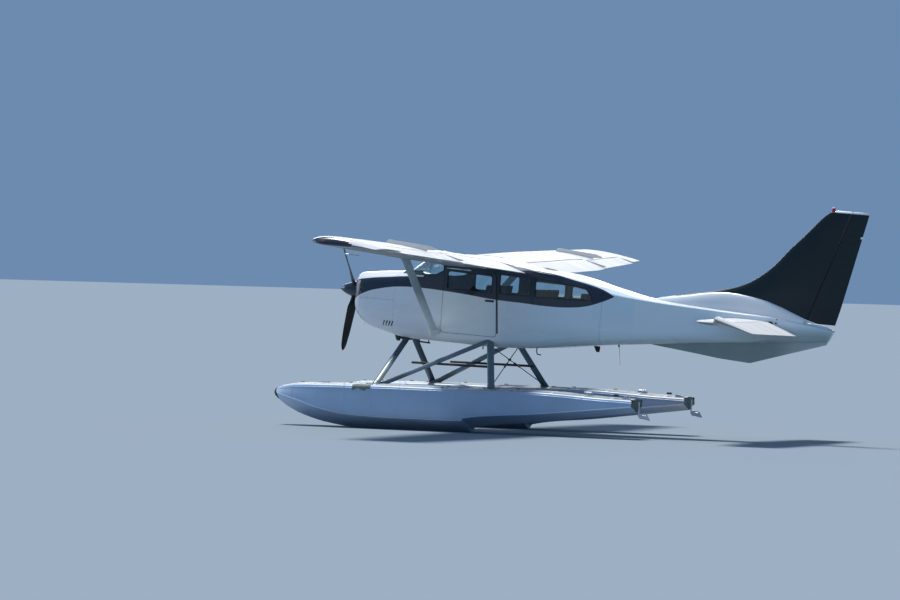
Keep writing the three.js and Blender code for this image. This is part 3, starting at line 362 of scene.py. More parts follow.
class Graph:
    """A material's node tree, with one short call for each kind of node."""

    def __init__(self, name):
        self.material = bpy.data.materials.new(name)
        self.material.use_nodes = True
        self.tree = self.material.node_tree
        self.shader = self.tree.nodes["Principled BSDF"]
        self.coords = self.node("ShaderNodeTexCoord").outputs["Object"]

    def node(self, kind, **settings):
        made = self.tree.nodes.new(kind)
        for key, value in settings.items():
            setattr(made, key, value)
        return made

    def feed(self, socket, value):
        if isinstance(value, bpy.types.NodeSocket):
            self.tree.links.new(value, socket)
        else:
            socket.default_value = value

    def math(self, operation, a, b):
        made = self.node("ShaderNodeMath", operation=operation)
        self.feed(made.inputs[0], a)
        self.feed(made.inputs[1], b)
        return made.outputs[0]

    def product(self, value, *factors):
        for factor in factors:
            value = self.math("MULTIPLY", value, factor)
        return value

    def noise(self, scale, detail, stretch=(1, 1, 1)):
        spread = self.node("ShaderNodeMapping")
        self.feed(spread.inputs["Vector"], self.coords)
        self.feed(spread.inputs["Scale"], stretch)
        made = self.node("ShaderNodeTexNoise")
        self.feed(made.inputs["Vector"], spread.outputs[0])
        self.feed(made.inputs["Scale"], scale)
        self.feed(made.inputs["Detail"], detail)
        return made.outputs["Fac"]

    def ranged(self, value, low, high, to_low=0.0, to_high=1.0):
        made = self.node("ShaderNodeMapRange")
        self.feed(made.inputs["Value"], value)
        self.feed(made.inputs["From Min"], low)
        self.feed(made.inputs["From Max"], high)
        self.feed(made.inputs["To Min"], to_low)
        self.feed(made.inputs["To Max"], to_high)
        return made.outputs["Result"]

    def axes(self, location=(0, 0, 0), rotation=(0, 0, 0)):
        """The point's x, y and z in a frame at a place, turned by some angles, in metres."""
        turned = self.node("ShaderNodeMapping", vector_type="TEXTURE")
        self.feed(turned.inputs["Vector"], self.coords)
        self.feed(turned.inputs["Location"], location)
        self.feed(turned.inputs["Rotation"], rotation)
        split = self.node("ShaderNodeSeparateXYZ")
        self.feed(split.inputs[0], turned.outputs[0])
        return split.outputs

    def body_axes(self):
        return self.axes((SPINNER_TIP, 0, THRUST_HEIGHT), (0, NOSE_PITCH, 0))

    def curve(self, value, points, x_span, y_span):
        """A smooth line through points, as a value of another value."""
        made = self.node("ShaderNodeFloatCurve")
        line = made.mapping.curves[0]
        (x_low, x_high), (y_low, y_high) = x_span, y_span
        scaled = [((x - x_low) / (x_high - x_low), (y - y_low) / (y_high - y_low)) for x, y in points]
        while len(line.points) < len(scaled):
            line.points.new(0.5, 0.5)
        for point, place in zip(line.points, scaled):
            point.location = place
        made.mapping.update()
        self.feed(made.inputs["Value"], self.ranged(value, *x_span))
        return self.ranged(made.outputs[0], 0.0, 1.0, *y_span)

    def tint(self, factor, color):
        """Lays a colour over the base colour by a factor."""
        socket = self.shader.inputs["Base Color"]
        made = self.node("ShaderNodeMix", data_type="RGBA")
        below = socket.links[0].from_socket if socket.links else tuple(socket.default_value)
        self.feed(made.inputs[0], factor)
        self.feed(made.inputs[6], below)
        self.feed(made.inputs[7], color if isinstance(color, bpy.types.NodeSocket) else (*color, 1))
        self.tree.links.new(made.outputs[2], socket)

    def roughen(self, factor, roughness):
        socket = self.shader.inputs["Roughness"]
        below = socket.links[0].from_socket if socket.links else socket.default_value
        keep = self.product(below, self.math("SUBTRACT", 1.0, factor))
        more = self.product(factor, roughness)
        self.tree.links.new(self.math("ADD", keep, more), socket)

    def bump(self, height, distance, strength=1.0):
        made = self.node("ShaderNodeBump")
        self.feed(made.inputs["Height"], height)
        self.feed(made.inputs["Distance"], distance)
        self.feed(made.inputs["Strength"], strength)
        socket = self.shader.inputs["Normal"]
        if socket.links:
            self.feed(made.inputs["Normal"], socket.links[0].from_socket)
        self.tree.links.new(made.outputs[0], socket)


def finish(name, color, roughness, metallic=0.0, coat=0.0, mottle=0.06, scale=2.5, grain=0.0,
           grain_scale=400.0):
    """A base for each material: mottled colour and roughness, and a fine grain in its surface."""
    graph = Graph(name)
    shader = graph.shader
    shader.inputs["Base Color"].default_value = (*color, 1)
    shader.inputs["Metallic"].default_value = metallic
    shader.inputs["Coat Weight"].default_value = coat
    shader.inputs["Coat Roughness"].default_value = 0.08
    cloud = graph.noise(scale, 4)
    graph.tint(graph.ranged(cloud, 0.3, 0.7, 0.0, 1.0), tuple(c * (1 - mottle) for c in color))
    rough = graph.ranged(cloud, 0.3, 0.7, roughness * 0.85, roughness * 1.2)
    graph.tree.links.new(rough, shader.inputs["Roughness"])
    if grain:
        graph.bump(graph.noise(grain_scale, 2), grain)
    return graph


def plain(*settings, **more):
    """A material that needs nothing beyond its base."""
    return finish(*settings, **more).material


# The edges of the paint on the body, and the edge of the grey belly. Columns: x aft of the spinner's tip and
# z above the thrust line, in metres
NAVY_LOWER_EDGE = [
    (0.35, -0.21), (0.46, -0.111), (0.54, -0.054), (0.614, -0.021), (0.686, 0.009), (0.757, 0.033),
    (0.90, 0.068), (1.043, 0.098), (1.186, 0.118), (1.40, 0.134), (1.65, 0.136), (1.96, 0.126),
    (2.23, 0.111), (2.50, 0.092), (2.77, 0.067), (3.04, 0.055), (3.31, 0.049), (3.70, 0.035),
    (3.96, 0.038), (4.216, 0.060), (4.34, 0.083), (4.46, 0.119), (4.58, 0.167), (4.70, 0.222),
    (4.79, 0.272),
]
NAVY_UPPER_EDGE = [
    (3.2, 0.66), (3.48, 0.575), (3.79, 0.541), (4.14, 0.474), (4.42, 0.416), (4.60, 0.364), (4.79, 0.272),
]
NAVY_DECK_FROM = 3.2
NAVY_END = 4.79
NAVY_COWL_FROM = 0.30
NAVY_COWL_TO = 1.65
NAVY_COWL_EDGE = [
    (0.30, 0.090), (0.42, 0.158), (0.53, 0.190), (0.65, 0.210), (0.77, 0.229), (0.89, 0.244),
    (1.01, 0.257), (1.25, 0.287), (1.65, 0.312),
]
FAIRING_EDGE = [
    (5.64, 0.368), (5.85, 0.405), (6.10, 0.455), (6.43, 0.490), (6.62, 0.483), (6.98, 0.440),
    (7.29, 0.357), (7.73, 0.193), (7.93, 0.137), (8.18, 0.069),
]
BELLY_EDGE = [
    (5.2, -0.44), (5.93, -0.351), (6.51, -0.288), (6.89, -0.234), (7.27, -0.153), (7.60, -0.123),
]
# The crease under the fin's fairing: how fast it falls on its way aft, and the two heights, taken back
# to x 0, between which the side's shade ends there
FAIRING_SLOPE = 0.0587
FAIRING_CREASE = (0.556, 0.568)
# The charcoal of the fin ends below its white cap
FIN_CAP_Z = 1.838
# Where the darker aft part of the decks begins: a painted shadow of the wing and body
AFT_DECK_SHADOW = (-2.2, -1.6)


def dust_and_belly_shade(graph, height):
    """Grey streaks of dust that run down and aft, thicker below a height; low on the belly they darken it
    further, partly dust and partly painted shade.
    """
    streak = graph.noise(1.6, 5, (0.5, 3, 5))
    low = graph.ranged(height, 0.1, -0.75)
    # Low on the belly the streaks darken it more: partly dust, partly painted shade
    belly = graph.ranged(height, -0.30, -0.68, 0.0, 0.34)
    amount = graph.product(graph.ranged(streak, 0.42, 0.72, 0.0, 0.30), low)
    amount = graph.math("MAXIMUM", amount, graph.product(belly, graph.ranged(streak, 0.2, 0.6, 0.6, 1.0)))
    graph.tint(amount, (0.33, 0.34, 0.33))
    graph.roughen(amount, 0.55)


# The body's white and navy paint, with painted shade and painted light laid over it
def body_paint_and_painted_light():
    graph = finish("body_paint_and_painted_light", WHITE, 0.24, coat=0.45, mottle=0.04, scale=1.4, grain=0.0002,
                   grain_scale=90)
    x, _, z = graph.body_axes()
    dust_and_belly_shade(graph, z)
    crease = graph.math("ADD", z, graph.product(x, FAIRING_SLOPE))
    fairing = graph.product(graph.ranged(crease, *FAIRING_CREASE, 0.0, 0.85), graph.ranged(x, 5.2, 5.6))
    # The aft side is tinted bluer, except on the fin's fairing: painted shade
    aft_side_shade = graph.product(graph.ranged(x, 2.6, 3.6), graph.math("SUBTRACT", 1.0, fairing))
    graph.tint(aft_side_shade, (0.68, 0.81, 0.88))
    # A paler, greener tone by the door: painted light
    door_painted_light = graph.product(graph.ranged(x, 1.7, 2.1), graph.ranged(x, 3.1, 2.7, 0.0, 0.7))
    graph.tint(door_painted_light, (0.94, 0.98, 0.94))
    # Low on the aft cabin the side turns darker: painted shade
    low_aft_shade = graph.product(graph.ranged(z, -0.22, -0.52, 0.0, 0.55), graph.ranged(x, 3.0, 4.2))
    graph.tint(low_aft_shade, (0.36, 0.48, 0.50))
    lower = graph.curve(x, NAVY_LOWER_EDGE, (0.35, NAVY_END), (-0.22, 0.3))
    upper = graph.curve(x, NAVY_UPPER_EDGE, (NAVY_DECK_FROM, NAVY_END), (0.25, 0.67))
    above = graph.math("GREATER_THAN", z, lower)
    below_deck = graph.math("LESS_THAN", z, upper)
    under_deck = graph.math("MAXIMUM", below_deck, graph.math("LESS_THAN", x, NAVY_DECK_FROM))
    ahead = graph.math("LESS_THAN", x, NAVY_END)
    on_cowl = graph.math("LESS_THAN", x, NAVY_COWL_TO)
    cowl_edge = graph.curve(x, NAVY_COWL_EDGE, (NAVY_COWL_FROM, NAVY_COWL_TO), (0.08, 0.32))
    cowl_top = graph.product(on_cowl, graph.math("GREATER_THAN", z, cowl_edge))
    side = graph.product(above, under_deck, ahead)
    graph.tint(graph.product(side, graph.math("SUBTRACT", 1.0, cowl_top)), NAVY)
    # Below the belly's edge the tail cone is tinted grey
    belly = graph.curve(x, BELLY_EDGE, (5.2, 7.6), (-0.45, -0.12))
    depth = graph.ranged(graph.math("SUBTRACT", belly, z), -0.012, 0.012)
    along_belly = graph.product(graph.ranged(x, 5.2, 5.9), graph.ranged(x, 7.6, 7.3))
    graph.tint(graph.product(depth, along_belly), VENTRAL_GREY)
    shade = graph.product(graph.ranged(x, 6.6, 8.0, 0.0, 0.85), graph.ranged(z, 0.09, -0.06))
    graph.tint(shade, (0.17, 0.25, 0.22))
    # Above the belly's edge the side darkens towards it: painted shade
    belly_gradient_shade = graph.ranged(graph.math("SUBTRACT", belly, z), -0.20, 0.0, 0.0, 0.6)
    graph.tint(graph.product(belly_gradient_shade, graph.ranged(x, 4.8, 5.8)), (0.34, 0.42, 0.42))
    return graph.material


def ventral_paint():
    graph = finish("ventral_paint", VENTRAL_GREY, 0.34, coat=0.2, mottle=0.12, scale=4, grain=0.0002,
                   grain_scale=90)
    x, _, _ = graph.body_axes()
    graph.tint(graph.ranged(x, 7.25, 7.6, 0.0, 0.75), (0.50, 0.55, 0.58))
    return graph.material


def fin_paint():
    graph = finish("fin_paint", WHITE, 0.34, coat=0.1, mottle=0.04, scale=1.4, grain=0.0002,
                   grain_scale=90)
    graph.shader.inputs["Specular IOR Level"].default_value = 0.3
    x, _, z = graph.body_axes()
    edge = graph.curve(x, FAIRING_EDGE, (5.64, 8.18), (0.0, 0.5))
    inside = graph.product(graph.math("GREATER_THAN", z, edge), graph.math("LESS_THAN", z, FIN_CAP_Z))
    graph.tint(inside, FIN_CHARCOAL)
    return graph.material


# The wings' white paint, with a painted shade on faces that look down
def wing_paint_and_underside_shade():
    graph = finish("wing_paint_and_underside_shade", WING_WHITE, 0.45, mottle=0.05, scale=1.2, grain=0.0002, grain_scale=80)
    graph.shader.inputs["Specular IOR Level"].default_value = 0.12
    streak = graph.noise(1.2, 5, (0.35, 6, 1))
    graph.tint(graph.ranged(streak, 0.45, 0.75, 0.0, 0.35), (0.42, 0.43, 0.42))
    # Faces that look down are darkened: painted shade
    split = graph.node("ShaderNodeSeparateXYZ")
    graph.feed(split.inputs[0], graph.node("ShaderNodeNewGeometry").outputs["Normal"])
    graph.tint(graph.ranged(split.outputs["Z"], -0.1, -0.5, 0.0, 0.75), (0.13, 0.15, 0.16))
    return graph.material


def float_paint():
    graph = finish("float_paint", FLOAT_BLUE, 0.42, metallic=0.1, mottle=0.10, scale=1.8, grain=0.0004,
                   grain_scale=35)
    x, y, z = graph.axes()
    far_stern = graph.product(graph.ranged(x, 0.2, 1.6, 0.0, 0.8), graph.ranged(y, 0.2, 0.4))
    graph.tint(far_stern, (0.50, 0.46, 0.46))
    stain = graph.noise(3.0, 5, (0.6, 1, 4))
    wet = graph.product(graph.ranged(z, 0.34, 0.05), graph.ranged(stain, 0.3, 0.7, 0.35, 1.0))
    graph.tint(graph.product(wet, 0.5), (0.16, 0.19, 0.18))
    scuffs = graph.noise(14.0, 6, (0.25, 1, 2))
    graph.tint(graph.ranged(scuffs, 0.62, 0.8, 0.0, 0.35), (0.55, 0.58, 0.60))
    graph.roughen(graph.product(wet, 0.6), 0.22)
    return graph.material


def deck_paint_and_shadow():
    graph = finish("deck_paint_and_shadow", (0.42, 0.44, 0.45), 0.5, metallic=0.2, mottle=0.12, grain=0.0006,
                   grain_scale=220)
    x, _, _ = graph.axes()
    # The aft part of the decks is darker: painted shadow
    graph.tint(graph.ranged(x, *AFT_DECK_SHADOW), (0.22, 0.23, 0.22))
    scuffs = graph.noise(9.0, 6, (0.6, 1, 1))
    graph.tint(graph.ranged(scuffs, 0.55, 0.75, 0.0, 0.4), (0.34, 0.36, 0.37))
    return graph.material


# The struts' paint, with painted light low on the wing struts and a painted shadow over the front struts
def strut_paint():
    graph = finish("strut_paint", STRUT_BLUE, 0.36, metallic=0.35, mottle=0.10, scale=3, grain=0.0002,
                   grain_scale=120)
    chips = graph.noise(38.0, 5)
    graph.tint(graph.ranged(chips, 0.66, 0.72, 0.0, 0.7), (0.55, 0.57, 0.58))
    x, _, z = graph.body_axes()
    # The wing strut's low part is made paler: painted light
    wing_strut_painted_light = graph.product(graph.ranged(z, 0.10, -0.35, 0.0, 0.9), graph.ranged(z, -0.64, -0.60))
    graph.tint(graph.product(wing_strut_painted_light, graph.ranged(x, 2.4, 2.3)), (0.80, 0.90, 0.90))
    # The front struts below their tops are darkened: painted shadow of the body
    front_strut_shadow = graph.product(graph.ranged(z, -0.66, -0.72), graph.ranged(x, 1.75, 1.6, 0.0, 0.9))
    graph.tint(front_strut_shadow, (0.07, 0.10, 0.13))
    return graph.material


def propeller_black():
    graph = finish("propeller_black", (0.009, 0.010, 0.010), 0.38, mottle=0.2, scale=9, grain=0.0002,
                   grain_scale=260)
    chips = graph.noise(70.0, 5)
    graph.tint(graph.ranged(chips, 0.68, 0.74, 0.0, 0.6), (0.28, 0.29, 0.30))
    return graph.material


def heated_steel():
    graph = finish("heated_steel", (0.30, 0.25, 0.21), 0.42, metallic=1.0, mottle=0.3, scale=14)
    graph.tint(graph.ranged(graph.noise(6, 4), 0.4, 0.65, 0.0, 0.7), (0.10, 0.09, 0.10))
    return graph.material


def window_glass():
    graph = Graph("window_glass")
    shader = graph.shader
    shader.inputs["Base Color"].default_value = (0.80, 0.90, 0.90, 1)
    shader.inputs["Transmission Weight"].default_value = 1.0
    shader.inputs["IOR"].default_value = 1.49
    smear = graph.noise(7.0, 4, (1, 1, 2.5))
    graph.tree.links.new(graph.ranged(smear, 0.4, 0.8, 0.0, 0.05), shader.inputs["Roughness"])
    return graph.material


def lens(name, color):
    graph = finish(name, color, 0.1, coat=0.6, mottle=0.05)
    graph.shader.inputs["Transmission Weight"].default_value = 0.35
    return graph.material


def seat_cloth():
    graph = finish("seat_cloth", (0.05, 0.05, 0.05), 0.85, mottle=0.2, scale=6)
    weave = graph.node("ShaderNodeTexWave", wave_type="BANDS", bands_direction="DIAGONAL")
    graph.feed(weave.inputs["Vector"], graph.coords)
    graph.feed(weave.inputs["Scale"], 260.0)
    graph.feed(weave.inputs["Distortion"], 1.5)
    graph.bump(weave.outputs["Fac"], 0.0006, 0.7)
    graph.shader.inputs["Sheen Weight"].default_value = 0.3
    return graph.material


BODY = body_paint_and_painted_light()
FIN = fin_paint()
WING = wing_paint_and_underside_shade()
FLOAT = float_paint()
DECK = deck_paint_and_shadow()
STRUT = strut_paint()
BLADE = propeller_black()
STEEL = heated_steel()
GLASS = window_glass()
CLOTH = seat_cloth()
VENTRAL = ventral_paint()
BAR_PAINT = plain("bar_paint", (0.045, 0.052, 0.050), 0.6, metallic=0.2, mottle=0.2, scale=12)
TRANSOM_SHADE = plain("transom_paint", (0.10, 0.13, 0.13), 0.6, mottle=0.3, scale=9, grain=0.0003, grain_scale=200)
EDGE_GUARD = plain("edge_guard", (0.24, 0.28, 0.25), 0.8, mottle=0.4, scale=26, grain=0.0008, grain_scale=300)
NAVY_PAINT = plain("navy_paint", NAVY, 0.22, coat=0.5, mottle=0.1, grain=0.0001, grain_scale=90)
IRON = plain("engine_iron", (0.05, 0.05, 0.055), 0.6, metallic=0.6, mottle=0.3, scale=20)
METAL = plain("bare_metal", (0.62, 0.64, 0.66), 0.33, metallic=0.9, mottle=0.12, scale=30)
DARK_METAL = plain("dark_metal", (0.055, 0.06, 0.065), 0.45, metallic=0.6, mottle=0.2, scale=25)
RUBBER = plain("rubber", (0.018, 0.018, 0.019), 0.7, mottle=0.25, scale=30, grain=0.0003, grain_scale=500)
TRIM = plain("cabin_trim", (0.060, 0.062, 0.066), 0.75, mottle=0.15, scale=9, grain=0.0003, grain_scale=700)
CARPET = plain("carpet", (0.045, 0.05, 0.058), 0.95, mottle=0.35, scale=120, grain=0.002, grain_scale=900)
TREAD = plain("walkway_grit", (0.46, 0.49, 0.52), 0.95, mottle=0.35, scale=60, grain=0.0015, grain_scale=700)
RED_LENS = lens("red_lens", (0.55, 0.02, 0.02))
GREEN_LENS = lens("green_lens", (0.02, 0.35, 0.10))
CLEAR_LENS = lens("clear_lens", (0.85, 0.87, 0.90))
DIAL = plain("dial_face", (0.01, 0.01, 0.011), 0.3, coat=0.4, mottle=0.3, scale=200)


# Fuselage skins: smooth lofts of the body sections with the real openings cut through

def body_places(start, end):
    fine = spaced(start, min(end, 460), 9) if start < 460 else [start]
    coarse = spaced(max(start, 460), end, 40) if end > 460 else [end]
    return np.unique(np.concatenate([fine, coarse]))


def body_ring(x, values, grow, steps=9):
    top, bottom, half, top_y, top_z, bottom_y, bottom_z = values
    corners = ((1, 1, top_y, top_z, 0), (-1, 1, top_y, top_z, 90),
               (-1, -1, bottom_y, bottom_z, 180), (1, -1, bottom_y, bottom_z, 270))
    ring = []
    for side_y, side_z, wide, high, start in corners:
        wide, high = max(wide + grow, 5), max(high + grow, 5)
        middle_y = side_y * (half + grow - wide)
        middle_z = top + grow - high if side_z > 0 else bottom - grow + high
        for angle in np.radians(np.linspace(start, start + 90, steps)):
            ring.append((x, middle_y + wide * math.cos(angle), middle_z + high * math.sin(angle)))
    return ring


def body_rings(start, end, grow):
    places = body_places(start, end)
    return [body_ring(x, row, grow) for x, row in zip(places, table_at(BODY_ROWS, places))]


def body_solid(start, end, grow=0.0):
    return solid(loft(body_rings(start, end, grow)), AIR)


def body_tube(start, end, outer, inner):
    """The layer between two growths of the body, open at both ends."""
    return solid(looped(body_rings(start, end, outer) + body_rings(start, end, inner)[::-1]), AIR)


def opening(name, radius, ends, moved_in=0.0):
    return solid(prism(rounded(inset(OPENINGS[name], moved_in), radius), ends), AIR)


def trimmed_inside(item, material):
    """Gives the faces that look into the cabin a second material."""
    item.data.materials.append(material)
    to_air = AIR.inverted()
    turn = to_air.to_3x3()
    for face in item.data.polygons:
        middle, normal = to_air @ face.center, turn @ face.normal
        if middle.y * normal.y + (middle.z - 20) * normal.z < 0:
            face.material_index = 1
    return item


HINGE_PIN = 9
HINGE_HALF = 35
# Side door hinges. Columns: name, x, y, heights of the two knuckles
DOOR_HINGES = {
    "pilot_door": (2003, -583, (-330, 250)),
    "cargo_front": (2953, 583, (-330, 250)),
    "cargo_rear": (4087, 552, (-300, 220)),
}
# Doors. Columns: piece, outline, window outline, which side
DOORS = [
    ("pilot_door", "pilot_door", "pilot_window", LEFT_SKIN),
    ("cargo_door_front", "cargo_front", "cargo_front_window", RIGHT_SKIN),
    ("cargo_door_rear", "cargo_rear", "cargo_rear_window", RIGHT_SKIN),
]
DOOR_CORNER = 60
DOOR_GAP = 6
WINDOW_CORNER = 40
# Fixed windows. Columns: piece, outline, corner radius, which side
WINDOWS = [
    ("windshield", "windshield", 8, BOTH_SKINS),
    ("window_left_middle", "middle_window", WINDOW_CORNER, LEFT_SKIN),
    ("window_left_rear", "rear_window", WINDOW_CORNER, LEFT_SKIN),
    ("window_right_front", "pilot_window", WINDOW_CORNER, RIGHT_SKIN),
    ("window_right_rear", "aft_window", 20, RIGHT_SKIN),
]
GLAZED_LENGTH = (1180, 4590)
SEAL = {"proud": 1.5, "outside": -9, "inside": 5}


def knuckles(hinge, radius, grow=0.0):
    x, y, heights = DOOR_HINGES[hinge]
    return [rod((x, y, z - HINGE_HALF - grow), (x, y, z + HINGE_HALF + grow), radius, 18) for z in heights]


def build_cabin():
    shell = body_tube(FIREWALL_X + FIREWALL_DEPTH, CABIN_END - SEAM, 0, -CABIN_WALL)
    holes = [opening(outline, radius, ends) for _, outline, radius, ends in WINDOWS]
    holes += [opening(outline, DOOR_CORNER, ends) for _, outline, _, ends in DOORS]
    holes += [solid(form, AIR) for hinge in DOOR_HINGES for form in knuckles(hinge, HINGE_PIN + 0.5, 1)]
    carve(shell, "DIFFERENCE", *holes)
    shell.data.materials.append(BODY)
    piece(trimmed_inside(shell, TRIM), "cabin_skin", "airframe", BODY, "white_paint", "cabin_shell")
    for name, outline, window, ends in DOORS:
        leaf = body_tube(1800, 4300, 0, -CABIN_WALL)
        carve(leaf, "INTERSECT", opening(outline, DOOR_CORNER, ends, DOOR_GAP))
        carve(leaf, "DIFFERENCE", opening(window, WINDOW_CORNER, ends))
        carve(leaf, "UNION", *[solid(form, AIR) for form in knuckles(outline, HINGE_PIN)])
        leaf.data.materials.append(BODY)
        piece(trimmed_inside(leaf, TRIM), f"{name}_leaf", name, BODY, "white_paint", name)
        glaze(f"{name}_glazing", window, WINDOW_CORNER, ends, name, f"{name}_window")
        seal(f"{name}_window_seal", window, WINDOW_CORNER, ends, name)
    for name, outline, radius, ends in WINDOWS:
        glaze(f"{name}_glazing", outline, radius, ends, "airframe", name)
        seal(f"{name}_seal", outline, radius, ends, "airframe")


def glaze(name, outline, radius, ends, body, node):
    pane = body_tube(*GLAZED_LENGTH, -GLASS_DEPTH, -GLASS_DEPTH - GLASS_THICKNESS)
    carve(pane, "INTERSECT", opening(outline, radius, ends, SKIN_CLEARANCE))
    piece(pane, name, body, GLASS, "window_glass", node)


def seal(name, outline, radius, ends, body):
    """A dark rubber strip around a window, a little proud of the skin."""
    strip = body_tube(*GLAZED_LENGTH, SEAL["proud"], -GLASS_DEPTH + 1)
    carve(strip, "INTERSECT", opening(outline, radius, ends, SEAL["outside"]))
    carve(strip, "DIFFERENCE", opening(outline, radius, ends, SEAL["inside"]))
    piece(strip, name, body, RUBBER, "cabin_trim")


build_cabin()


# Nose: bowl with two rounded air inlets, and two cowling halves

NOSE_FRONT = BODY_ROWS[0][0]
EXHAUST = {"x": 1010, "y": 130, "top": -250, "bottom": -745, "radius": 32}
AIR_INLET = {"inner": 105, "outer": 205, "half_height": 72, "corner": 50, "x": (200, 480)}
BOWL_FRONT_WALL = 15
SHAFT_HOLE = 84
PIPE_CLEARANCE = 8
COOLING_OUTLET = {"from_x": 1090, "half_width": 200, "top": -560}


def build_nose():
    bowl = body_solid(NOSE_FRONT, BOWL_END - SEAM)
    inner = body_solid(NOSE_FRONT + BOWL_FRONT_WALL, BOWL_END + 60, -COWL_WALL)
    shaft = solid(rod((0, 0, 0), (BOWL_END, 0, 0), SHAFT_HOLE, 40), AIR)
    inlets = []
    for _, side in SIDES:
        near, far = side * AIR_INLET["inner"], side * AIR_INLET["outer"]
        high = AIR_INLET["half_height"]
        corners = [(near, -high), (far, -high), (far, high), (near, high)]
        outline = rounded(corners, AIR_INLET["corner"])
        inlets.append(solid(loft([[(x, y, z) for y, z in outline] for x in AIR_INLET["x"]]), AIR))
    carve(bowl, "DIFFERENCE", inner, shaft, *inlets)
    piece(bowl, "nose_bowl_skin", "airframe", BODY, "white_paint", "nose_bowl")
    everywhere = (-BEYOND, BEYOND)
    upper = body_tube(BOWL_END + SEAM, FIREWALL_X - SEAM, 0, -COWL_WALL)
    carve(upper, "INTERSECT", solid(box((0, BEYOND), everywhere, (COWL_SPLIT_Z + SEAM, BEYOND)), AIR))
    piece(upper, "cowling_upper_skin", "airframe", BODY, "white_paint", "cowling_upper")
    lower = body_tube(BOWL_END + SEAM, FIREWALL_X - SEAM, 0, -COWL_WALL)
    carve(lower, "INTERSECT", solid(box((0, BEYOND), everywhere, (-BEYOND, COWL_SPLIT_Z - SEAM)), AIR))
    x, y = EXHAUST["x"], EXHAUST["y"]
    pipe_hole = solid(rod((x, y, -400), (x, y, -900), EXHAUST["radius"] + PIPE_CLEARANCE, 32), AIR)
    half = COOLING_OUTLET["half_width"]
    outlet = box((COOLING_OUTLET["from_x"], BEYOND), (-half, half), (-BEYOND, COOLING_OUTLET["top"]))
    carve(lower, "DIFFERENCE", pipe_hole, solid(outlet, AIR))
    piece(lower, "cowling_lower_skin", "airframe", BODY, "white_paint", "cowling_lower")


build_nose()


# Wings: drawn flat, x aft of the root's leading edge and y outwards, then set at incidence and dihedral

WING_ROOT_Y = 580
WING_LEAD = (1730, 600)
WING_INCIDENCE = math.radians(1.57)
WING_DIHEDRAL = math.radians(2.5)
# Columns: span, leading edge aft of the root's, chord, thickness ratio, droop
WING_ROWS = [
    (0, 0, 1640, 0.12, 0), (1960, 0, 1640, 0.12, 0), (4650, 107, 1225, 0.12, 0),
    (4800, 172, 1132, 0.118, 6), (4880, 280, 920, 0.075, 30),
]
STRAIGHT_TO = 4650
FLAP = {"from": 42, "to": 2440, "hinge": 1190, "hinge_tip": 1190, "rest": 6}
AILERON = {"from": 2476, "to": 4300, "hinge": 1265, "hinge_tip": 1100, "rest": 6}
END_GAP = 8
RUNNING_GAP = 6
CAMBER = 0.02
CAMBER_PEAK = 0.4
# The tip's navy paint covers its faces that look less than this upwards, more of them near the front
TIP_NAVY = {"below": 0.72, "front_x": 330, "front_below": 1.05, "fades_by": 540, "to_x": 800}
# Rounded tips: where the rounding starts, how far it reaches, the least share left
WING_TIP = (4840, 41, 0.02)
FIN_TIP = (1840, 31, 0.03)
TAILPLANE_TIP = (1940, 41, 0.03)
BLADE_TIP = (960, 58, 0.04)
WING_TIP_SPANS = [4700, 4745, 4785, 4815, 4840, 4858, 4870, 4877, 4880]
PANEL_BEAD_DEPTH = 0.9


def tip_share(value, tip):
    """The share of its thickness that a section keeps on its way to a rounded tip."""
    start, reach, least = tip
    return math.sqrt(max(1 - max(0, (value - start) / reach) ** 2, least))


def half_thickness(share):
    share = np.clip(share, 0, 1)
    root = 0.2969 * np.sqrt(share)
    return 5 * (root - 0.126 * share - 0.3516 * share**2 + 0.2843 * share**3 - 0.098 * share**4)


def camber(share):
    share = np.asarray(share, float)
    front = CAMBER / CAMBER_PEAK**2 * (2 * CAMBER_PEAK * share - share**2)
    rear = CAMBER / (1 - CAMBER_PEAK) ** 2 * (1 - 2 * CAMBER_PEAK + 2 * CAMBER_PEAK * share - share**2)
    return np.where(share < CAMBER_PEAK, front, rear)


def section(lead, chord, ratio, cambered=True, count=26):
    """An aerofoil's points as x and height, from the trailing edge over the top and back."""
    share = (1 - np.cos(np.linspace(0, math.pi, count))) / 2
    half = np.maximum(half_thickness(share) * ratio, 0.0012)
    middle = camber(share) if cambered else 0 * share
    upper = list(zip(lead + share * chord, (middle + half) * chord))[::-1]
    lower = list(zip(lead + share * chord, (middle - half) * chord))
    return upper + lower[1:]


def wing_place(side):
    lead_x, lead_z = WING_LEAD
    at = Matrix.Translation((lead_x, side * WING_ROOT_Y, lead_z))
    return AIR @ at @ Matrix.Rotation(side * WING_DIHEDRAL, 4, "X") @ Matrix.Rotation(WING_INCIDENCE, 4, "Y")


def wing_row(span):
    smooth = span > STRAIGHT_TO
    return table_at(WING_ROWS, [span], smooth)[0]


def wing_form(side):
    rings = []
    for span in [*spaced(-60, STRAIGHT_TO, 120), *WING_TIP_SPANS]:
        lead, chord, ratio, droop = wing_row(max(span, 0))
        ring = section(lead, chord, ratio * tip_share(span, WING_TIP))
        rings.append([(x, side * span, z - droop) for x, z in ring])
    return loft(rings)


def wing_middle(span, x):
    lead, chord, ratio, _ = wing_row(span)
    share = (x - lead) / chord
    return float(camber(share) * chord), float(half_thickness(share) * ratio * chord)


def hinge_ends(side, panel):
    ends = []
    for span, x in ((panel["from"], panel["hinge"]), (panel["to"], panel["hinge_tip"])):
        z, half = wing_middle(span, x)
        ends.append((Vector((x, side * span, z)), half))
    return ends


def behind(side, panel, shift, widening):
    """The block of space behind a hinge line."""
    rings = []
    for span, x, outward in ((panel["from"], panel["hinge"], -1), (panel["to"], panel["hinge_tip"], 1)):
        y = side * (span + outward * widening)
        front, rear = x + shift, x + BEYOND
        rings.append([(front, y, -900), (front, y, 900), (rear, y, 900), (rear, y, -900)])
    return loft(rings)


def barrel(ends, grow, extra):
    (start, start_radius), (end, end_radius) = ends
    along = (end - start).normalized() * extra
    return rod(start - along, end + along, start_radius + grow, 28, end_radius + grow)


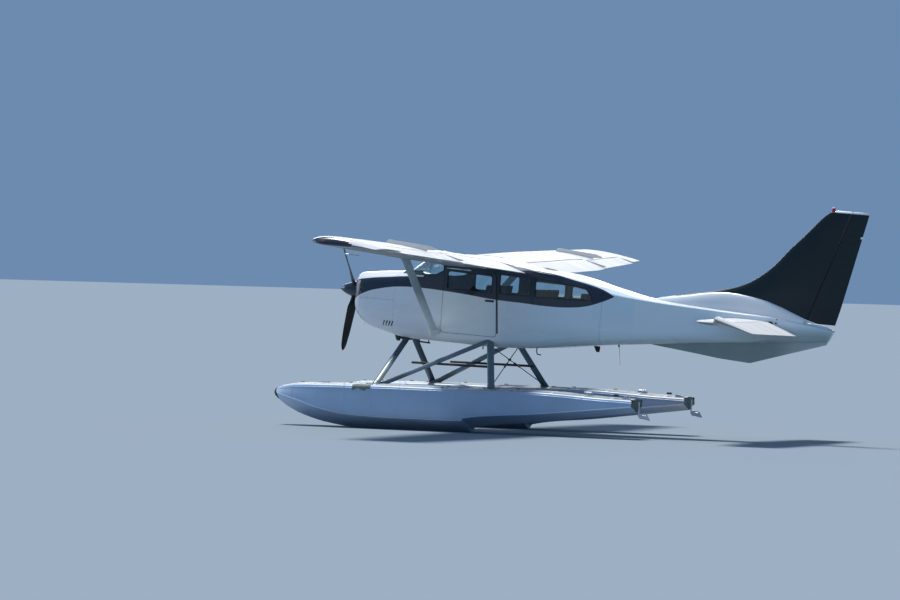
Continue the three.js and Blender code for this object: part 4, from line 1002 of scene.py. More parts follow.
def surface_form(side, panel, beads):
    """A flap or aileron: a round nose and the wing's rear part, with pressed beads along the chord."""
    rings = []
    spans = spaced(panel["from"], panel["to"], (panel["to"] - panel["from"]) / (beads * 6))
    for i, span in enumerate(spans):
        part = (span - panel["from"]) / (panel["to"] - panel["from"])
        hinge = panel["hinge"] + part * (panel["hinge_tip"] - panel["hinge"])
        middle, radius = wing_middle(span, hinge)
        lead, chord, ratio, _ = wing_row(span)
        x = hinge + (lead + chord - hinge) * np.linspace(1, 0, 18)
        share = (x - lead) / chord
        half = np.maximum(half_thickness(share) * ratio, 0.0012) * chord
        fade = np.clip(np.minimum(np.linspace(0, 1, 18), np.linspace(1, 0, 18)) * 7, 0, 1)
        pressed = PANEL_BEAD_DEPTH * fade * (1 - math.cos(2 * math.pi * i / 6)) / 2
        centre = camber(share) * chord
        nose = [(hinge - (radius - 1) * math.sin(a), middle + (radius - 1) * math.cos(a))
                for a in np.linspace(0, math.pi, 11)[1:-1]]
        upper = list(zip(x, centre + half - pressed))
        lower = list(zip(x, centre - half + pressed))[::-1]
        rings.append([(px, side * span, pz) for px, pz in upper + nose + lower])
    return loft(rings)


def turn_about(item, place, start, end, degrees):
    """Turns an object's mesh about a line of its drawing frame."""
    from_point, to_point = place @ start, place @ end
    turn = Matrix.Rotation(math.radians(degrees), 4, to_point - from_point)
    item.data.transform(Matrix.Translation(from_point) @ turn @ Matrix.Translation(-from_point))


# The fence on the wing's upper side: side view, x aft of the root's leading edge
FENCE_SPAN = 2920
FENCE_OUTLINE = [(470, 60), (540, 178), (1200, 150), (1330, 118), (1330, 98), (1180, 84), (1165, 55)]
FENCE_FOOT_OUTLINE = [(480, 88), (1160, 72), (1160, 60), (480, 74)]


def build_wing(word, side):
    place = wing_place(side)
    wing = solid(wing_form(side), place)
    tools = []
    for panel in (FLAP, AILERON):
        ends = hinge_ends(side, panel)
        lip = -0.85 * max(radius for _, radius in ends)
        tools.append(solid(behind(side, panel, lip, END_GAP), place))
        tools.append(solid(barrel(ends, RUNNING_GAP, END_GAP), place))
    root_y = sorted((-side * BEYOND, side * (WING_ROOT_Y + SKIN_CLEARANCE)))
    root = box((-BEYOND, 2 * BEYOND), root_y, (-BEYOND, BEYOND))
    carve(wing, "DIFFERENCE", *tools, solid(root, AIR))
    wing.data.materials.append(WING)
    wing.data.materials.append(NAVY_PAINT)
    to_wing = place.inverted()
    turn = to_wing.to_3x3()
    for face in wing.data.polygons:
        centre = to_wing @ face.center
        below = float(np.interp(centre.x, (TIP_NAVY["front_x"], TIP_NAVY["fades_by"]),
                                (TIP_NAVY["front_below"], TIP_NAVY["below"])))
        upward = (turn @ face.normal).normalized().z
        if abs(centre.y) > STRAIGHT_TO and centre.x < TIP_NAVY["to_x"] and upward < below:
            face.material_index = 1
    piece(wing, f"wing_{word}_skin", "airframe", WING, "white_paint", f"wing_{word}")
    fence, foot = [prism(outline, sorted((side * (FENCE_SPAN - half), side * (FENCE_SPAN + half))))
                   for outline, half in ((rounded(FENCE_OUTLINE, 12), 3), (FENCE_FOOT_OUTLINE, 22))]
    add([fence, foot], place, f"wing_fence_{word}", "airframe", WING, "white_paint")
    for name, panel, beads in (("flap", FLAP, 21), ("aileron", AILERON, 17)):
        start, end = (point for point, _ in hinge_ends(side, panel))
        surface = solid(surface_form(side, panel, beads), place)
        pins = solid(barrel([(start, 9), (end, 9)], 0, END_GAP - 0.5), place)
        carve(surface, "UNION", pins)
        turn_about(surface, place, start, end, side * panel["rest"])
        node = f"{name}_{word}"
        piece(surface, f"{node}_skin", node, WING, "white_paint", node, sharp=50)


for word, side in SIDES:
    build_wing(word, side)


# Tail: cone, fin, rudder, tailplane halves, elevator and ventral fin

# Columns: z, leading edge x, trailing edge x, thickness
FIN_ROWS = [
    (60, 5150, 8175, 170), (290, 5300, 8235, 150), (378, 5640, 8258, 130), (510, 6310, 8288, 112),
    (620, 6670, 8312, 106), (725, 6870, 8336, 102), (940, 7135, 8384, 96), (1220, 7380, 8446, 86),
    (1485, 7630, 8505, 76), (1760, 7880, 8567, 66), (1870, 8020, 8590, 44),
]
RUDDER = {"bottom": (7745, 0, 125), "top": (8330, 0, 1830), "clear_z": 138, "pin_below": 13, "pin": 11}
# Columns: y, leading edge x, trailing edge x, thickness
TAILPLANE_ROWS = [(40, 6396, 7692, 116), (1900, 6646, 7584, 78), (1980, 6740, 7570, 44)]
TAILPLANE_Z = 60
ELEVATOR = {"hinge_x": 7170, "rest": 15, "inner": 175, "horn_y": 1790, "horn_reach": 235, "tube": 20}
LIP_SHIFT = -26
TAIL_BEAD_DEPTH = 0.8
FIN_BEAD_PITCH = 114
TAILPLANE_BEAD_PITCH = 99


def symmetric(lead, trail, thickness, bead, bead_from):
    """A symmetric section as x and half height, with beads pressed in behind an x."""
    chord = trail - lead
    points = section(lead, chord, thickness / chord, cambered=False, count=24)
    pressed = []
    for x, height in points:
        fade = min(max((x - bead_from - 30) / 40, 0), max((trail - x) / 120, 0), 1)
        pressed.append((x, height - math.copysign(min(bead * fade, abs(height) * 0.6), height)))
    return pressed


def beaded(value, pitch):
    return TAIL_BEAD_DEPTH * (1 - math.cos(2 * math.pi * value / pitch)) / 2


def rudder_hinge_x(z):
    """Where the rudder's slanted hinge line is at a height."""
    (low_x, _, low), (high_x, _, high) = RUDDER["bottom"], RUDDER["top"]
    return low_x + (high_x - low_x) / (high - low) * (z - low)


def tail_skin():
    """The tail cone's outside, which cuts what stands on it."""
    return body_solid(CABIN_END, TAIL_END, SKIN_CLEARANCE)


def fin_form(with_beads=False):
    rings = []
    for z in [*spaced(60, 1840, 19 if with_beads else 36), 1856, 1866, 1870]:
        lead, trail, thickness = table_at(FIN_ROWS, [z])[0]
        thin = tip_share(z, FIN_TIP)
        bead = beaded(z, FIN_BEAD_PITCH) if with_beads else 0
        points = symmetric(lead, trail, thickness * thin, bead, rudder_hinge_x(z))
        rings.append([(x, y, z) for x, y in points])
    return loft(rings)


def along(start, end, distance):
    return Vector(start) + (Vector(end) - Vector(start)).normalized() * distance


def surface_half(rows, value, x):
    lead, trail, thickness = table_at(rows, [value])[0]
    return float(half_thickness((x - lead) / (trail - lead)) * thickness)


def fin_space(shift, low_z):
    """Everything behind the rudder's slanted hinge line, above a height."""
    rings = []
    for z in (low_z, 2500):
        x = rudder_hinge_x(z) + shift
        rings.append([(x, -300, z), (x, 300, z), (x + BEYOND, 300, z), (x + BEYOND, -300, z)])
    return loft(rings)


def build_fin():
    start, end = RUDDER["bottom"], RUDDER["top"]
    ends = [(Vector(point), surface_half(FIN_ROWS, point[2], point[0])) for point in (start, end)]
    fin = solid(fin_form(), AIR)
    behind_lip = solid(fin_space(LIP_SHIFT, -200), AIR)
    carve(fin, "DIFFERENCE", behind_lip, solid(barrel(ends, RUNNING_GAP, 80), AIR), tail_skin())
    piece(fin, "fin_skin", "airframe", FIN, "dark_paint", "fin")
    rudder = carve(solid(fin_form(True), AIR), "INTERSECT", solid(fin_space(0, RUDDER["clear_z"]), AIR))
    nose = solid(barrel(ends, -1, 30), AIR)
    carve(nose, "INTERSECT", solid(box((0, 2e4), (-300, 300), (RUDDER["clear_z"], 1868)), AIR))
    pin = solid(rod(along(start, end, -RUDDER["pin_below"]), along(start, end, 90), RUDDER["pin"]), AIR)
    piece(carve(rudder, "UNION", nose, pin), "rudder_skin", "rudder", FIN, "dark_paint", "rudder", sharp=50)


def tailplane_form(side, with_beads=False):
    rings = []
    spans = spaced(40, 1900, 16.5 if with_beads else 60)
    for y in [*spans, 1930, 1952, 1966, 1975, 1980]:
        smooth = y > 1900
        lead, trail, thickness = table_at(TAILPLANE_ROWS, [y], smooth)[0]
        thin = tip_share(y, TAILPLANE_TIP)
        bead = beaded(y - 40, TAILPLANE_BEAD_PITCH) if with_beads else 0
        points = symmetric(lead, trail, thickness * thin, bead, ELEVATOR["hinge_x"])
        rings.append([(x, side * y, TAILPLANE_Z + z) for x, z in points])
    return loft(rings)


def build_tailplane():
    hinge_x, inner, tube = ELEVATOR["hinge_x"], ELEVATOR["inner"], ELEVATOR["tube"]
    halves = []
    for word, side in SIDES:
        ends = [(Vector((hinge_x, side * y, TAILPLANE_Z)), surface_half(TAILPLANE_ROWS, y, hinge_x))
                for y in (inner, 1900)]

        def horn_space(gap):
            inner_end = (hinge_x, side * (ELEVATOR["horn_y"] - gap), TAILPLANE_Z)
            outer_end = (hinge_x, side * BEYOND, TAILPLANE_Z)
            return solid(rod(inner_end, outer_end, ELEVATOR["horn_reach"] + gap, 48), AIR)

        def rear_space(shift, from_y):
            y_span = sorted((side * from_y, side * BEYOND))
            return solid(box((hinge_x + shift, 2e4), y_span, (-BEYOND, BEYOND)), AIR)

        plane = solid(tailplane_form(side), AIR)
        carve(plane, "DIFFERENCE", rear_space(LIP_SHIFT, 0), solid(barrel(ends, RUNNING_GAP, 200), AIR),
              horn_space(END_GAP), tail_skin())
        piece(plane, f"tailplane_{word}_skin", "airframe", WING, "white_paint", f"tailplane_{word}")
        rear = carve(solid(tailplane_form(side, True), AIR), "INTERSECT", rear_space(0, inner))
        horn = carve(solid(tailplane_form(side), AIR), "INTERSECT", horn_space(0))
        halves.append(carve(rear, "UNION", horn, solid(barrel(ends, -1, 0), AIR)))
    start, end = ((hinge_x, side * (inner + 20), TAILPLANE_Z) for _, side in SIDES)
    torque_tube = solid(rod(start, end, tube, 28), AIR)
    elevator = carve(torque_tube, "UNION", *halves)
    turn_about(elevator, AIR, Vector(start), Vector(end), ELEVATOR["rest"])
    piece(elevator, "elevator_skin", "elevator", WING, "white_paint", "elevator", sharp=50)


def build_tail_cone():
    cone = body_solid(CABIN_END + SEAM, TAIL_END)
    hollow = body_solid(CABIN_END - 100, TAIL_HOLLOW_END, -TAIL_WALL)
    middle = [(ELEVATOR["hinge_x"], y, TAILPLANE_Z) for y in (-400, 400)]
    hole = solid(rod(*middle, ELEVATOR["tube"] + 0.5, 32), AIR)
    start, end = RUDDER["bottom"], RUDDER["top"]
    foot = along(start, end, -RUDDER["pin_below"] - 0.5)
    bore = rod(foot, along(start, end, 90), RUDDER["pin"] + 0.5, 28)
    upper, lower = TAIL_END_LINE
    outline = [lower, (2 * TAIL_END, lower[1]), (2 * TAIL_END, upper[1]), upper]
    behind_end = prism(outline, (-BEYOND, BEYOND))
    carve(cone, "DIFFERENCE", hollow, hole, solid(bore, AIR), solid(behind_end, AIR))
    piece(cone, "tail_cone_skin", "airframe", BODY, "white_paint", "tail_cone")


VENTRAL_OUTLINE = [
    (5300, -360), (5300, -412), (5950, -476), (6410, -525), (6900, -552), (7470, -366), (8086, -168),
    (8118, -90),
]


def build_ventral_fin():
    layers = []
    for y, moved_in in ((-18, 9), (-15, 2), (-8, 0), (8, 0), (15, 2), (18, 9)):
        layers.append([(x, y, z) for x, z in rounded(inset(VENTRAL_OUTLINE, moved_in), 14)])
    fin = carve(solid(loft(layers), AIR), "DIFFERENCE", tail_skin())
    piece(fin, "ventral_fin_skin", "airframe", VENTRAL, "white_paint", "ventral_fin")


# Fairing at the fin's root. Columns: x, height of its upper edge, height and half width of its lower edge
FAIRING_ROWS = [
    (5290, 286, 250, 40), (5440, 322, 240, 86), (5640, 366, 236, 112), (5850, 404, 228, 124),
    (6100, 454, 206, 126), (6300, 480, 194, 124), (6433, 490, 186, 122), (6623, 483, 180, 122),
    (6977, 440, 172, 118), (7294, 357, 160, 108), (7500, 281, 140, 92), (7712, 201, 108, 74),
]
# Spine behind it, under the rudder. Columns: x, top, half width
SPINE_ROWS = [(7716, 131, 66), (7931, 128, 56), (8030, 112, 50), (8110, 90, 42), (8150, 78, 30)]


def build_fin_fairing():
    """A rounded fairing that swells from the fin's side down to the tail cone."""
    rings = []
    for x in spaced(FAIRING_ROWS[0][0], FAIRING_ROWS[-1][0], 45):
        edge, low, wide = table_at(FAIRING_ROWS, [x])[0]
        inner = min(surface_half(FIN_ROWS, edge, x) + 1.5, wide - 6)
        half = [(wide, low - 40)]
        for angle in np.linspace(math.pi / 2, 0, 10):
            across = inner + (wide - inner) * math.sin(angle)
            half.append((across, edge - (edge - low) * (1 - math.cos(angle))))
        rings.append([(x, y, z) for y, z in half] + [(x, -y, z) for y, z in half[::-1]])
    add([loft(rings)], AIR, "fin_root_fairing", "airframe", BODY, "white_paint", sharp=50)
    rings = []
    for x in spaced(SPINE_ROWS[0][0], SPINE_ROWS[-1][0], 40):
        top, wide = table_at(SPINE_ROWS, [x])[0]
        rings.append([(x, wide * math.cos(angle), 20 + (top - 20) * math.sin(angle) ** 0.8)
                      for angle in np.linspace(0, math.pi, 15)])
    add([loft(rings)], AIR, "tail_spine", "airframe", BODY, "white_paint", sharp=50)


build_fin()
build_tailplane()
build_tail_cone()
build_ventral_fin()
build_fin_fairing()


# Propeller and spinner

BLADE_ROWS = [
    (60, 78, 70, 52), (190, 96, 56, 46), (330, 150, 34, 38), (640, 152, 20, 26), (900, 118, 12, 20),
    (1015, 60, 7, 18),
]
SPINNER_ROWS = [(0, 4), (33, 32), (100, 74), (178, 105), (262, 130), (345, 146)]
SPINNER_REAR = 345
# The blunt curve of the spinner's nose, up to the table's second row
SPINNER_NOSE = {"places": (0, 3, 8, 16), "radius": 32, "reach": 34.0, "blunt": 0.004}
SPINNER_SCREWS = {"radius": 144, "ahead": 9, "lean": -0.19}
BACK_PLATE = {"radius": 140, "depth": 9}
PROPELLER_X = 262
HUB = {"front": 150, "end": 380, "radius": 72}
BLADE_ANGLES = (42, 162, 282)
SPINNER_WALL = 6


def blade_form(degrees, grow=0.0):
    rings = []
    turn = Matrix.Rotation(math.radians(degrees), 4, "X")
    for radius in [*spaced(60, 960, 30), 980, 995, 1005, 1012, 1015]:
        chord, thickness, pitch = table_at(BLADE_ROWS, [radius])[0]
        narrow = tip_share(radius, BLADE_TIP)
        twist = math.radians(pitch)
        ring = []
        for angle in np.arange(20) * math.pi / 10:
            across = (chord * narrow / 2 + grow) * math.cos(angle)
            belly = 1 - 0.35 * math.cos(angle) if radius > 330 else 1
            through = (thickness / 2 * belly / 1.1 + grow) * math.sin(angle)
            x = through * math.cos(twist) - across * math.sin(twist)
            y = across * math.cos(twist) + through * math.sin(twist)
            ring.append(turn @ Vector((x, y, radius)) + Vector((PROPELLER_X, 0, 0)))
        rings.append(ring)
    return loft(rings)


def build_propeller():
    hub = solid(rod((HUB["front"], 0, 0), (HUB["end"], 0, 0), HUB["radius"], 40), AIR)
    plate_ends = (SPINNER_REAR + SKIN_CLEARANCE, 0, 0), (SPINNER_REAR + BACK_PLATE["depth"], 0, 0)
    plate = solid(rod(*plate_ends, BACK_PLATE["radius"], 64), AIR)
    carve(hub, "UNION", plate, *[solid(blade_form(angle), AIR) for angle in BLADE_ANGLES])
    piece(hub, "propeller_blades", "propeller", BLADE, "propeller_black", "propeller")
    nose_end = SPINNER_ROWS[1][0]
    places = np.array([*SPINNER_NOSE["places"], *spaced(nose_end, SPINNER_REAR, 16)])
    blunt = SPINNER_NOSE["radius"] * np.sqrt(places / SPINNER_NOSE["reach"] + SPINNER_NOSE["blunt"])
    radii = np.where(places < nose_end, blunt, table_at(SPINNER_ROWS, places)[:, 0])
    outer = [[(x, y, z) for y, z in circle(max(radius, 2), 48)] for x, radius in zip(places, radii)]
    shell = solid(loft(outer), AIR)
    inner = [[(x, y, z) for y, z in circle(max(radius - SPINNER_WALL, 2), 48)]
             for x, radius in zip(places, radii) if x >= nose_end]
    inner.append([(SPINNER_REAR + 20, y, z) for y, z in circle(radii[-1] - SPINNER_WALL, 48)])
    slots = [solid(blade_form(angle, 4), AIR) for angle in BLADE_ANGLES]
    carve(shell, "DIFFERENCE", solid(loft(inner), AIR), *slots)
    piece(shell, "spinner_shell", "propeller", NAVY_PAINT, "spinner_navy", "spinner")
    screws = []
    for angle in np.arange(18) * math.pi / 9:
        out = Vector((SPINNER_SCREWS["lean"], math.cos(angle), math.sin(angle)))
        centre = Vector((SPINNER_REAR - SPINNER_SCREWS["ahead"], 0, 0))
        screws.append(dome(centre + Vector((0, out.y, out.z)) * SPINNER_SCREWS["radius"], out, 5, 2, 8, 2))
    add(screws, AIR, "spinner_screws", "propeller", METAL, "bare_metal")


build_propeller()


# Floats

FLOAT_SPACING = 1200
# Columns: x, deck z, chine z, keel z, deck half width, chine half width
FLOAT_ROWS = [
    (-520, 526, 492, 458, 40, 45), (-455, 566, 500, 398, 120, 135), (-300, 607, 468, 290, 210, 240),
    (0, 645, 400, 160, 290, 330), (400, 657, 290, 60, 330, 380), (900, 664, 215, 0, 345, 400),
    (1630, 668, 190, 0, 350, 400), (2800, 662, 185, 0, 350, 400), (2806, 662, 225, 62, 350, 396),
    (3950, 660, 330, 205, 330, 365), (5000, 606, 440, 340, 280, 300), (5480, 588, 490, 402, 240, 250),
]
BOW, BOW_BUMPER_END = FLOAT_ROWS[0][0], FLOAT_ROWS[1][0]
STERN = FLOAT_ROWS[-1][0]
# Points of a float's half section, as float_half() lists them
AT_CHINE, AT_KNEE, AT_SIDE_TOP, AT_DECK_RIM = 4, 6, 8, 13
KEEL_HALF = 22
DECK_CROWN = 22
DECK_EDGE = 36
SIDE_KNEE = 0.18
FLOAT_STEP_X = (2800, 2806)
CLEAT_PADS = [(330, 692), (4700, 668)]
CLEAT_PAD_HALF = (70, 35)
CLEAT_PAD_DEPTH = 60
# Faces that look up more than this are deck
DECK_UPWARD = 0.93
WATER_RUDDER = {"x": 5516, "radius": 12, "top": 566, "bottom": 285, "reach": 190}


def float_places():
    nose = spaced(BOW, 0, 26)
    bottom = spaced(0, STERN, 80)
    return np.unique(np.concatenate([nose, bottom, FLOAT_STEP_X]))


def float_half(row, grow=0.0):
    """One side of a float's section from keel to deck, as y and z."""
    deck, chine, keel, deck_half, chine_half = row
    share = min(1, deck_half / 200)
    edge = DECK_EDGE * share
    side_top = deck - edge
    knee = chine + SIDE_KNEE * (deck - chine)
    points = [(KEEL_HALF, keel - grow)]
    for t in (0.25, 0.5, 0.75):
        sag = 10 * share * math.sin(math.pi * t)
        points.append((KEEL_HALF + t * (chine_half - KEEL_HALF), keel + t * (chine - keel) + sag - grow))
    points += [(chine_half + grow, z) for z in (chine - grow, chine + 14 * share, knee)]
    points.append(((chine_half + deck_half) / 2 + grow, (knee + side_top) / 2 + 2))
    for angle in np.linspace(0, math.pi / 2, 6):
        points.append((deck_half - edge + (edge + grow) * math.cos(angle),
                       side_top + (edge + grow) * math.sin(angle)))
    for t in (0.3, 0.6, 0.8):
        crown = DECK_CROWN * share * math.sin(t * math.pi / 2)
        points.append(((deck_half - edge) * (1 - t), deck + grow + crown))
    return points + [(0, deck + grow + DECK_CROWN * share)]


def float_ring(x, row, side, grow=0.0):
    half = float_half(row, grow)
    whole = half + [(-y, z) for y, z in half[:-1][::-1]]
    return [(x, side * FLOAT_SPACING + y, z) for y, z in whole]


def float_rings(side, places, grow=0.0):
    return [float_ring(x, row, side, grow) for x, row in zip(places, table_at(FLOAT_ROWS, places))]


def deck_height(x, y_off=0.0):
    deck, _, _, deck_half, _ = table_at(FLOAT_ROWS, [x])[0]
    return deck + DECK_CROWN * math.sin(max(0, 1 - abs(y_off) / (deck_half - DECK_EDGE)) * math.pi / 2)


def build_float(word, side):
    y = side * FLOAT_SPACING
    hull = solid(loft(float_rings(side, float_places())), GEAR)
    long, wide = CLEAT_PAD_HALF
    pads = [solid(box((x - long, x + long), (y - wide, y + wide), (top - CLEAT_PAD_DEPTH, top)), GEAR)
            for x, top in CLEAT_PADS]
    carve(hull, "UNION", *pads)
    hull.data.materials.append(FLOAT)
    hull.data.materials.append(DECK)
    for face in hull.data.polygons:
        if face.normal.z > DECK_UPWARD:
            face.material_index = 1
    piece(hull, f"float_{word}_hull", "airframe", FLOAT, "float_paint", f"float_{word}", sharp=22)
    bumper = solid(loft(float_rings(side, spaced(BOW, BOW_BUMPER_END, 7), 5)), GEAR)
    piece(bumper, f"bow_bumper_{word}", "airframe", RUBBER, "cabin_trim")


for word, side in SIDES:
    build_float(word, side)


# Struts: streamlined tubes from the floats to the body

# Columns: name, lower end, upper end, chord, thickness; y is for starboard
GEAR_ROWS = [
    ("float_strut_front", (1153, 1200, 640), (1250, 20, 1490), 112, 46),
    ("float_strut_rear", (3108, 1200, 620), (2789, 506, 1460), 112, 46),
    ("float_strut_diagonal", (1169, 1074, 655), (2815, 560, 1410), 84, 38),
]
SPREADER = {"z": 590, "half": 1150, "chord": 96, "thickness": 44}
STEP_BAR = {"front": (1590, 778, 1030), "rear": (2990, 866, 1004), "radius": 19}
BRACE = {"top": (2838, 605, 1325), "bottom": (3074, -1122, 708), "radius": 7}
WING_STRUT = {"foot": (1904, 480, -600), "head": (2148, 2600, 690), "chord": 142, "thickness": 52}


def flipped(point, side):
    return (point[0], side * point[1], point[2])


def streamlined(chord, thickness):
    return section(-chord / 2, chord, thickness / chord, cambered=False, count=15)


def bar(low, high, chord, thickness):
    return swept(streamlined(chord, thickness), ((0, 1), (1, 1)), low, high)


def build_struts():
    def strut(place, name, node, *shape):
        add([bar(*shape)], place, f"{name}_tube", "airframe", STRUT, "strut_paint", node, sharp=40)

    for name, low, high, chord, thickness in GEAR_ROWS:
        for word, side in SIDES:
            node = f"{name}_{word}"
            strut(GEAR, node, node, flipped(low, side), flipped(high, side), chord, thickness)
    z, half, chord, thickness = (SPREADER[key] for key in ("z", "half", "chord", "thickness"))
    for word, row in zip(("front", "rear"), GEAR_ROWS):
        x = row[1][0]
        strut(GEAR, f"spreader_{word}", f"spreader_bar_{word}", (x, -half, z), (x, half, z), chord, thickness)
    for word, side in SIDES:
        front, rear = flipped(STEP_BAR["front"], side), flipped(STEP_BAR["rear"], side)
        add([capsule(front, rear, STEP_BAR["radius"])], GEAR, f"boarding_bar_{word}", "airframe", BAR_PAINT,
            "strut_paint", f"boarding_step_{word}")
        foot, head = flipped(WING_STRUT["foot"], side), flipped(WING_STRUT["head"], side)
        node = f"wing_strut_{word}"
        strut(AIR, node, node, foot, head, WING_STRUT["chord"], WING_STRUT["thickness"])
    wires = []
    for side in (-1, 1):
        top, bottom = flipped(BRACE["top"], side), flipped(BRACE["bottom"], side)
        wires.append(rod(top, bottom, BRACE["radius"], 10))
        length = (Vector(bottom) - Vector(top)).length
        wires.append(capsule(along(top, bottom, 0.43 * length), along(top, bottom, 0.54 * length), 14, 12))
    crossing = along(flipped(BRACE["top"], 1), flipped(BRACE["bottom"], 1), 0.35 * length)
    wires.append(capsule(crossing + Vector((-6, -34, 0)), crossing + Vector((6, 34, 0)), 20, 12))
    add(wires, GEAR, "brace_wires", "airframe", DARK_METAL, "bare_metal", "rear_cross_brace")


build_struts()


# Cabin: padded seats, instrument panel, control wheels, floor and bulkhead

FLOOR_TOP = -545
# Columns: node, x of the cushion's front, y of its middle, width
SEATS = [
    ("seat_front_left", 2170, -270, 440), ("seat_front_right", 2170, 270, 440),
    ("seat_middle_left", 2960, -265, 420), ("seat_middle_right", 2960, 265, 420),
    ("bench_rear", 3720, 0, 860),
]
# Side views of the pads, x aft of the cushion's front
CUSHION = [(0, -300), (470, -300), (470, -210), (0, -190)]
BACK = [(414, -190), (506, -190), (590, 292), (506, 292)]
PAD_INSET = 7
PAD_CORNER = 26
PAD_SIDE = 8
PAD_VOXEL = 0.011
PAD_PRESSURE = 4
PAD_SWELL_CAP = 0.012
CLOTH_FRAMES = 20
# Pad patterns. Columns: width, y of the sewn channels
PAD_PATTERNS = ((440, (-110, 0, 110)), (860, (-215, 0, 215)))
CHANNEL_DEPTH = 7.0
CHANNEL_WIDTH = 9.0


def move_in_air(item, x, y, wide=1.0):
    """Widens an object about the middle plane and moves it within the airframe."""
    shift = AIR.to_3x3() @ Vector((x, y, 0))
    item.data.transform(Matrix.Translation(shift) @ Matrix.Diagonal((1, wide, 1, 1)))
    return item


def swollen(item):
    """Blows a block up into a stuffed pad, with its swelling capped."""
    block = item.modifiers.new("remesh", "REMESH")
    block.mode = "VOXEL"
    block.voxel_size = PAD_VOXEL
    baked(item)
    rest = np.array([vertex.co for vertex in item.data.vertices])
    cloth = item.modifiers.new("cloth", "CLOTH")
    cloth.settings.use_pressure = True
    cloth.settings.uniform_pressure_force = PAD_PRESSURE
    cloth.settings.effector_weights.gravity = 0
    for step in range(1, CLOTH_FRAMES + 1):
        bpy.context.scene.frame_set(step)
    baked(item)
    bpy.context.scene.frame_set(1)
    moved = np.array([vertex.co for vertex in item.data.vertices]) - rest
    length = np.linalg.norm(moved, axis=1, keepdims=True)
    capped = rest + moved * np.minimum(1, PAD_SWELL_CAP / np.maximum(length, 1e-9))
    item.data.vertices.foreach_set("co", capped.ravel())


def sewn(item, channels):
    """Draws sewn channels into a pad: lines of constant y, pulled in along the surface's normal."""
    to_air = AIR.inverted()
    for vertex in item.data.vertices:
        y = (to_air @ vertex.co).y
        pull = sum(math.exp(-((y - channel) / CHANNEL_WIDTH) ** 2) for channel in channels)
        vertex.co -= vertex.normal * 0.001 * CHANNEL_DEPTH * min(pull, 1)


def pad(outline, width, channels):
    half = width / 2 - PAD_SIDE
    block = solid(prism(rounded(inset(outline, PAD_INSET), PAD_CORNER), (-half, half)), AIR)
    swollen(block)
    sewn(block, channels)
    return block


def seat_frame(width):
    """Rails on the floor, four legs and a pan under the cushion."""
    half = width / 2 - 50
    forms = [prism(rounded([(50, -312), (450, -312), (450, -300), (50, -300)], 4), (-half, half))]
    low, high = FLOOR_TOP + 2, FLOOR_TOP + 20
    rail = rounded([(20, low), (470, low), (470, high), (20, high)], 6)
    for y in (-half, half):
        forms.append(prism(rail, (y - 12, y + 12)))
        for foot, head in ((60, 90), (440, 410)):
            forms.append(rod((foot, y, FLOOR_TOP + 12), (head, y, -305), 12, 12))
        forms.append(tube_along([(440, y * 0.9, -330), (488, y * 0.9, -250), (512, y * 0.9, -160),
                                 (560, y * 0.9, 120)], 11, 10))
    return merged(forms)


def build_seats():
    patterns = {}
    for wide, channels in PAD_PATTERNS:
        patterns[wide] = [pad(outline, wide, channels) for outline in (CUSHION, BACK)]
    for node, x, y, width in SEATS:
        nearest = min(patterns, key=lambda wide: abs(wide - width))
        for part, pattern in zip(("cushion", "back"), patterns[nearest]):
            copy = bpy.data.objects.new(part, pattern.data.copy())
            bpy.context.scene.collection.objects.link(copy)
            move_in_air(copy, x, y, width / nearest)
            piece(copy, f"{node}_{part}", "airframe", CLOTH, "seat_cover", sharp=60)
        base = solid(seat_frame(width), AIR)
        piece(move_in_air(base, x, y), f"{node}_frame", "airframe", DARK_METAL, "bare_metal", node)
    for pair in patterns.values():
        for pattern in pair:
            bpy.data.objects.remove(pattern)


build_seats()


PANEL_X = (1540, 1575)
PANEL_Z = (-40, 330)
# Columns: y, z, radius of each dial
DIALS = [(-400 + 95 * column, 225 - 95 * row, 38) for row in range(2) for column in range(4)]
DIALS += [(120 + 62 * column, 240, 24) for column in range(5)] + [(150, 150, 30), (230, 150, 30)]
RADIOS = [(-10, 215), (-10, 165), (-10, 115), (-10, 65)]
YOKE_Y = 270
# One half of a control wheel's bar. Columns: x, y from its middle, z
YOKE_GRIP = [(1738, -146, 236), (1739, -148, 170), (1740, -132, 134), (1740, -70, 124), (1740, 0, 128)]
GLARESHIELD = [(1330, 316), (1600, 322), (1608, 334), (1600, 346), (1340, 338)]


